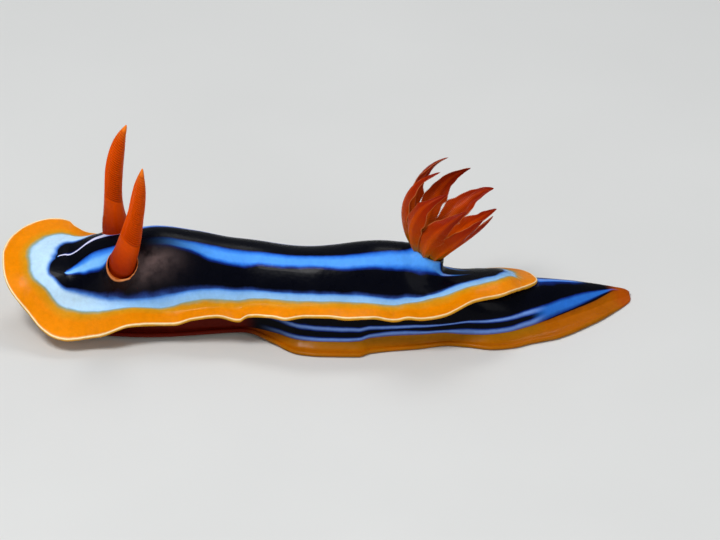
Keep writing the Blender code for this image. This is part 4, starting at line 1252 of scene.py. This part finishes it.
wet_skin, given, result = new_group(
    "wet_skin", (("Color", "Color"), ("Grain", "Float"), ("Mottle", "Float"), ("Bump", "Float")),
    (("Color", "Color"), ("Roughness", "Float"), ("Normal", "Vector")))
fine = noise_on_piece(wet_skin, given.outputs["Grain"], 4.0, Roughness=0.6)
broad = noise_on_piece(wet_skin, BROAD_GRAIN, 3.0, Roughness=0.6)
uneven = sum_up(wet_skin, "ADD", times(wet_skin, fine, 0.5), times(wet_skin, broad, 0.5))
centred = sum_up(wet_skin, "SUBTRACT", uneven, 0.5)
bright = sum_up(wet_skin, "ADD", times(wet_skin, centred, given.outputs["Mottle"], COLOUR_SWING), 1.0)
tinted = add_node(wet_skin, "HueSaturation", (("Color", given.outputs["Color"]), ("Value", bright)))
film = add_node(wet_skin, "MapRange", (("Value", broad), ("From Min", 0.3), ("From Max", 0.7),
                                       ("To Min", 0.2), ("To Max", 0.42)))
bumps = add_node(wet_skin, "Bump", (("Strength", given.outputs["Bump"]), ("Distance", BUMP_HEIGHT),
                                    ("Height", fine)))
for output, name in ((tinted.outputs["Color"], "Color"), (film.outputs["Result"], "Roughness"),
                     (bumps.outputs["Normal"], "Normal")):
    wet_skin.links.new(output, result.inputs[name])


def finish_skin(material, colour, grain, mottle, bump, soak):
    """Builds the shader of a wet skin over a colour made in its tree."""
    tree = material.node_tree
    inputs = (("Color", colour), ("Grain", grain), ("Mottle", mottle), ("Bump", bump))
    group = add_node(tree, "Group", inputs, node_tree=wet_skin)
    shader = tree.nodes["Principled BSDF"]
    for output, socket in (("Color", "Base Color"), ("Roughness", "Roughness"), ("Normal", "Normal")):
        tree.links.new(group.outputs[output], shader.inputs[socket])
    for socket, value in (("Subsurface Weight", soak), ("Subsurface Radius", (1.0, 0.5, 0.25)),
                          ("Subsurface Scale", 0.0003), ("Specular IOR Level", 0.045),
                          ("Coat Weight", 0.025), ("Coat Roughness", 0.05)):
        shader.inputs[socket].default_value = value


# %% The wavering group
WAVER_GRAIN = 900.0

wavering, given, result = new_group("wavering", (("Mark", "Float"), ("Amount", "Float")),
                                    (("Mark", "Float"), ("Noise", "Float")))
noise = noise_on_piece(wavering, WAVER_GRAIN, 3.0)
shaken = times(wavering, sum_up(wavering, "SUBTRACT", noise, 0.5), given.outputs["Amount"])
wavering.links.new(sum_up(wavering, "ADD", given.outputs["Mark"], shaken), result.inputs["Mark"])
wavering.links.new(noise, result.inputs["Noise"])


def waver(tree, name, amount):
    """A mark with its borders shaken, and the noise that shook them."""
    inputs = (("Mark", read_mark(tree, name)), ("Amount", amount))
    node = add_node(tree, "Group", inputs, node_tree=wavering)
    return node.outputs["Mark"], node.outputs["Noise"]


# %% [markdown]
# ## Finish of the mantle
# The ramp runs over the band coordinate: navy black, blue with darker edges, black again, a pale band
# that is blue where it leaves the black, a soft greenish edge, and orange up to the white hem. Where
# the blue stripe ends, a ramp without it takes over. Coats are then laid over the bands: the nearly
# white front of the far stripe, lighter blues towards the head, the brown patch behind the horns, the
# collars with painted shade down inside them, and the pocket of the gills. The number before a colour
# is its band coordinate.

# %% The mantle's finish
NAVY = screen(3, 4, 13)
DEEP_BLUE = screen(14, 44, 130)
BLUE_EDGE = screen(44, 118, 226)
AZURE = screen(82, 160, 250)
SKY_EDGE = screen(70, 128, 214)
SKY = screen(126, 182, 242)
PALE = screen(146, 196, 242)
INK_BLUE = screen(36, 58, 122)
GREY_GREEN = screen(150, 160, 122)
GOLD = screen(212, 146, 20)
ORANGE = screen(234, 134, 0)
CREAM = screen(250, 228, 178)
NEARLY_WHITE = screen(222, 222, 248)
FRONT_PALE = screen(192, 226, 252)
FRONT_AZURE = screen(134, 200, 255)
BROWN = screen(106, 88, 86)
PEACH = screen(222, 140, 84)
COLLAR = screen(176, 78, 14)
# Painted shade down inside the collars of the horns.
COLLAR_INSIDE_SHADE = screen(112, 34, 4)
POCKET_GREY = screen(130, 158, 170)
POCKET_INSIDE = screen(120, 70, 14)
BAND_SPAN = 7.5
MANTLE_WAVER = 0.16
FRONT_LIGHT = (0.0110, 0.0060)

mantle_skin, flank_skin, head_skin = skin_finishes
tree = mantle_skin.node_tree
band, noise = waver(tree, "band", MANTLE_WAVER)
inside = ((0, NAVY), (0.93, NAVY), (1.0, DEEP_BLUE), (1.16, BLUE_EDGE), (1.42, AZURE), (1.78, AZURE),
          (1.9, BLUE_EDGE), (2.0, DEEP_BLUE), (2.1, NAVY))
outside = ((2.92, NAVY), (3.0, INK_BLUE), (3.1, SKY_EDGE), (3.28, SKY), (3.6, PALE), (3.84, PALE),
           (3.97, GREY_GREEN), (4.08, GOLD), (4.4, ORANGE), (4.97, ORANGE), (5.06, CREAM),
           (5.98, CREAM), (6.1, GOLD), (6.5, GOLD), (6.9, PALE))
plain = ramp(tree, band, BAND_SPAN, ((0, NAVY),) + outside)
striped = ramp(tree, band, BAND_SPAN, inside + outside)

blue = read_mark(tree, "blue")
collar = read_mark(tree, "collar")
pocket = read_mark(tree, "pocket")
at_front = fade(tree, read_mark(tree, "along"), *FRONT_LIGHT)
in_stripe = between(tree, band, (0.95, 1.15), (1.85, 2.05))
in_core = between(tree, band, (1.3, 1.55), (1.75, 1.95))
in_pale = between(tree, band, (3.05, 3.3), (3.8, 3.95))
in_patch = times(tree, read_mark(tree, "dusk"), fade(tree, noise, 0.16, 0.66),
                 fade(tree, band, 3.0, 2.8))
colour = lay_over(tree, plain, (
    (sum_up(tree, "MULTIPLY", blue, 1.0, True), striped),
    (times(tree, fade(tree, blue, 1.1, 1.9), in_stripe), NEARLY_WHITE),
    (times(tree, at_front, in_pale), FRONT_PALE),
    (times(tree, at_front, in_core, fade(tree, blue, 1.5, 1.1), blue), FRONT_AZURE),
    (times(tree, in_patch, 0.9), BROWN),
    (fade(tree, collar, 0.45, 0.75), PEACH),
    (fade(tree, collar, 0.85, 1.05), COLLAR),
    # painted shade down inside the collars
    (fade(tree, collar, 1.45, 1.8), COLLAR_INSIDE_SHADE),
    (times(tree, fade(tree, pocket, 0.5, 0.9), 0.4), POCKET_GREY),
    (fade(tree, pocket, 1.1, 1.5), POCKET_INSIDE)))
finish_skin(mantle_skin, colour, grain=2600, mottle=0.22, bump=0.25, soak=0.06)
print("coats and masks of the mantle", len(tree.nodes), "nodes")

# %% [markdown]
# ## Finish of the flanks, foot and tail
# Here the ramp runs up the section, from the pale sole over the orange edge to two blue stripes. On the
# tail the stripes run together, which a second ramp shows without the black between them, and a third
# without stripes serves the front, where they haven't begun. The coats over it are the black ridge of
# the tail, a dark red of painted shade on the foot and the flanks at the front, where the mantle
# shades them, and the orange tip.

# %% The flank's finish
SOLE = screen(196, 186, 168)
FOOT_ORANGE = screen(170, 90, 0)
FOOT_GOLD = screen(152, 98, 8)
TAIL_BLUE = screen(42, 112, 208)
# Painted shade: a dark red where the mantle shades the foot and the flanks at the front.
SHADE_RED = screen(88, 16, 4)
TIP_ORANGE = screen(168, 74, 2)
STRIPE_BLUE = screen(112, 152, 228)
VIOLET_GREY = screen(84, 80, 140)
FLANK_WAVER = 0.2
RIDGE_DARKENS = (0.0452, 0.0468)
# Where the painted shade under the front of the mantle ends, on the flanks and on the foot.
FLANK_SHADE_ENDS = (0.0212, 0.0192)
FOOT_SHADE_ENDS = (0.0236, 0.0196)
TIP_STARTS = (0.0480, 0.0494)

tree = flank_skin.node_tree
height = waver(tree, "flank", FLANK_WAVER)[0]
low_part = ((0, SOLE), (0.7, SOLE), (0.92, FOOT_GOLD), (1.1, FOOT_ORANGE))
two, one, none = [ramp(tree, height, RIDGE_MARK, low_part + stops) for stops in (
    ((1.96, FOOT_GOLD), (2.96, VIOLET_GREY), (3.4, STRIPE_BLUE), (3.6, STRIPE_BLUE), (3.95, DEEP_BLUE),
     (4.1, NAVY), (4.9, NAVY), (5.05, DEEP_BLUE), (5.4, STRIPE_BLUE), (5.6, STRIPE_BLUE),
     (5.85, DEEP_BLUE), (6.0, NAVY), (8.0, NAVY)),
    ((1.96, FOOT_ORANGE), (2.25, NAVY), (2.7, NAVY), (3.0, DEEP_BLUE), (3.6, TAIL_BLUE),
     (5.5, TAIL_BLUE), (5.85, DEEP_BLUE), (6.0, NAVY), (6.85, NAVY), (7.05, DEEP_BLUE),
     (7.5, TAIL_BLUE), (8.0, STRIPE_BLUE)),
    ((1.9, FOOT_ORANGE), (2.04, NAVY), (8.0, NAVY)))]
lengthwise = read_mark(tree, "along")
on_foot = between(tree, height, (0.5, 0.9), (1.8, 2.1))
# Painted shade under the front of the mantle, on the flanks and on the foot.
flank_shade = times(tree, fade(tree, lengthwise, *FLANK_SHADE_ENDS), fade(tree, height, 1.8, 2.1))
foot_shade = times(tree, fade(tree, lengthwise, *FOOT_SHADE_ENDS), on_foot)
colour = lay_over(tree, none, (
    (read_mark(tree, "stripe"), two),
    (read_mark(tree, "tail"), one),
    (times(tree, fade(tree, lengthwise, *RIDGE_DARKENS), fade(tree, height, 6.3, 6.6)), NAVY),
    (sum_up(tree, "ADD", flank_shade, foot_shade, True), SHADE_RED),
    (fade(tree, lengthwise, *TIP_STARTS), TIP_ORANGE)))
finish_skin(flank_skin, colour, grain=2600, mottle=0.22, bump=0.25, soak=0.06)
print("coats and masks of the flank", len(tree.nodes), "nodes")

# %% [markdown]
# ## Finish of the head, the horns and the gills
# The snout is pale, almost see-through flesh with orange feelers. The horns are orange-red, brightest
# at the tip, with painted shade at their foot down inside the collar and in the grooves between their
# leaves. In the gills the stems are bright orange and the leaflets a deep red, with painted shade
# between the lamellae and a painted highlight along the edge.

# %% The other finishes
HEAD_TONES = tones((0, 188, 200, 216), (0.3, 200, 190, 180), (0.8, 226, 150, 60))
# The darkest stops at the foot of the horn are painted shade, where it stands down inside its collar.
HORN_TONES = tones((0, 140, 34, 0), (0.13, 150, 38, 0), (0.3, 206, 70, 0), (0.6, 228, 86, 0),
                   (0.86, 228, 88, 2), (0.94, 236, 110, 20), (1.0, 246, 134, 44))
# Painted shade in the grooves between the leaves of the horns.
HORN_GROOVE_SHADE = screen(160, 40, 0)
STEM_TONES = tones((0, 150, 104, 12), (0.1, 180, 98, 6), (0.25, 226, 98, 2), (0.6, 196, 66, 0),
                   (1.0, 140, 28, 2))
BLADE_TONES = tones((0, 150, 104, 4), (0.12, 158, 98, 0), (0.2, 182, 82, 0), (0.35, 186, 66, 0),
                    (0.7, 158, 38, 0), (1.0, 124, 18, 2))
# Painted shade in the grooves between the lamellae of the gills.
GILL_GROOVE_SHADE = screen(84, 10, 0)
# Painted highlight along the edges of the gill plumes.
GILL_EDGE_HIGHLIGHT = screen(196, 112, 60)

tree = head_skin.node_tree
finish_skin(head_skin, ramp(tree, read_mark(tree, "collar"), 1, HEAD_TONES),
            grain=2600, mottle=0.2, bump=0.2, soak=0.2)

horn_skin = new_finish("horn_skin")
tree = horn_skin.node_tree
colour = lay_over(tree, ramp(tree, read_mark(tree, "height"), 1, HORN_TONES), (
    (times(tree, read_mark(tree, "groove"), 0.55), HORN_GROOVE_SHADE),))
finish_skin(horn_skin, colour, grain=4000, mottle=0.2, bump=0.15, soak=0.06)

gill_skin = new_finish("gill_skin")
tree = gill_skin.node_tree
reach = read_mark(tree, "reach")
stem, blade = [ramp(tree, read_mark(tree, "height"), 1, stops) for stops in (STEM_TONES, BLADE_TONES)]
colour = lay_over(tree, stem, (
    (fade(tree, reach, 0.08, 0.4), blade),
    (times(tree, read_mark(tree, "groove"), 0.35), GILL_GROOVE_SHADE),
    (fade(tree, reach, 0.93, 1.0), GILL_EDGE_HIGHLIGHT)))
finish_skin(gill_skin, colour, grain=4000, mottle=0.25, bump=0.15, soak=0.08)

for horn in (horn_left, horn_right):
    horn.data.materials.append(horn_skin)
for piece in plumes + [cushion, vent]:
    piece.data.materials.append(gill_skin)
print("finishes", sorted(material.name for material in bpy.data.materials))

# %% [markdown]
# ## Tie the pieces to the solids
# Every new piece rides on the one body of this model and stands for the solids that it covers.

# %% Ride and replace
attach(skin, "root")
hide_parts("mantle_head", "mantle_front", "mantle_middle", "mantle_rear", "foot_front",
            "foot_middle", "foot_rear", "body_front", "body_middle", "body_rear", "tail", "head",
            "oral_tentacle_left", "oral_tentacle_right")
for piece, node in ((horn_left, "rhinophore_left"), (horn_right, "rhinophore_right")):
    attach(piece, "root")
    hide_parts(node)
for piece, node in [(cushion, "gill_base"), (vent, "anal_papilla")] + [
        (plume, "gill_%d" % (index + 1)) for index, plume in enumerate(plumes)]:
    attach(piece, "root")
    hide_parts(node)

# %% [markdown]
# ## Floor, light and camera
# The model stands on a plain pale floor. One soft lamp from above and in front gives the broad wet
# highlights, two weaker ones fill the shadows and light the back, and the sky is a soft grey. The
# camera looks down at 30 degrees on the left side, from half a metre away through a long lens, as for
# a picture of something this small.

# %% The floor
FLOOR_SIZE = 3.0
FLOOR_TONES = tones((0, 212, 212, 210), (1, 224, 224, 222))

bm = bmesh.new()
bmesh.ops.create_grid(bm, x_segments=8, y_segments=8, size=FLOOR_SIZE / 2)
floor_finish = new_finish("pale_floor")
tree = floor_finish.node_tree
shader = tree.nodes["Principled BSDF"]
cloud = noise_on_piece(tree, 30.0, 3.0)
tree.links.new(ramp(tree, cloud, 1, FLOOR_TONES), shader.inputs["Base Color"])
shader.inputs["Roughness"].default_value = 0.7
floor = add_object("pale_floor", bm, (floor_finish,))

# %% Lights and camera
TARGET = Vector((0.0034, 0, 0.00494))


def add_lamp(name, location, size, power):
    """A square soft lamp that shines at the model."""
    light = bpy.data.lights.new(name, "AREA")
    light.shape = "SQUARE"
    light.size = size
    light.energy = power
    lamp = bpy.data.objects.new(name, light)
    lamp.location = location
    lamp.rotation_euler = (TARGET - Vector(location)).to_track_quat("-Z", "Y").to_euler()
    bpy.context.scene.collection.objects.link(lamp)


add_lamp("key", (-0.14, -0.16, 0.36), 0.11, 1.1)
add_lamp("fill", (0.24, -0.30, 0.20), 0.20, 0.3)
add_lamp("back", (0.06, 0.20, 0.36), 0.14, 0.3)
world = bpy.data.worlds.new("studio")
world.use_nodes = True
sky = world.node_tree.nodes["Background"]
sky.inputs["Color"].default_value = (0.9, 0.95, 1, 1)
sky.inputs["Strength"].default_value = 0.3
bpy.context.scene.world = world

FAR = 0.5
SENSOR = 36
PICTURE_WIDTH = 720
PIXELS_PER_MM = 12.56
ELEVATION = 30
lens = bpy.data.cameras.new("camera")
lens.sensor_width = SENSOR
lens.lens = SENSOR * FAR / (PICTURE_WIDTH / PIXELS_PER_MM / 1000)
lens.clip_start = 0.01
camera = bpy.data.objects.new("camera", lens)
elevation = math.radians(ELEVATION)
camera.location = TARGET + FAR * Vector((0, -math.cos(elevation), math.sin(elevation)))
camera.rotation_euler = (math.pi / 2 - elevation, 0, 0)
bpy.context.scene.collection.objects.link(camera)
bpy.context.scene.camera = camera
bpy.context.scene.view_settings.view_transform = "Standard"
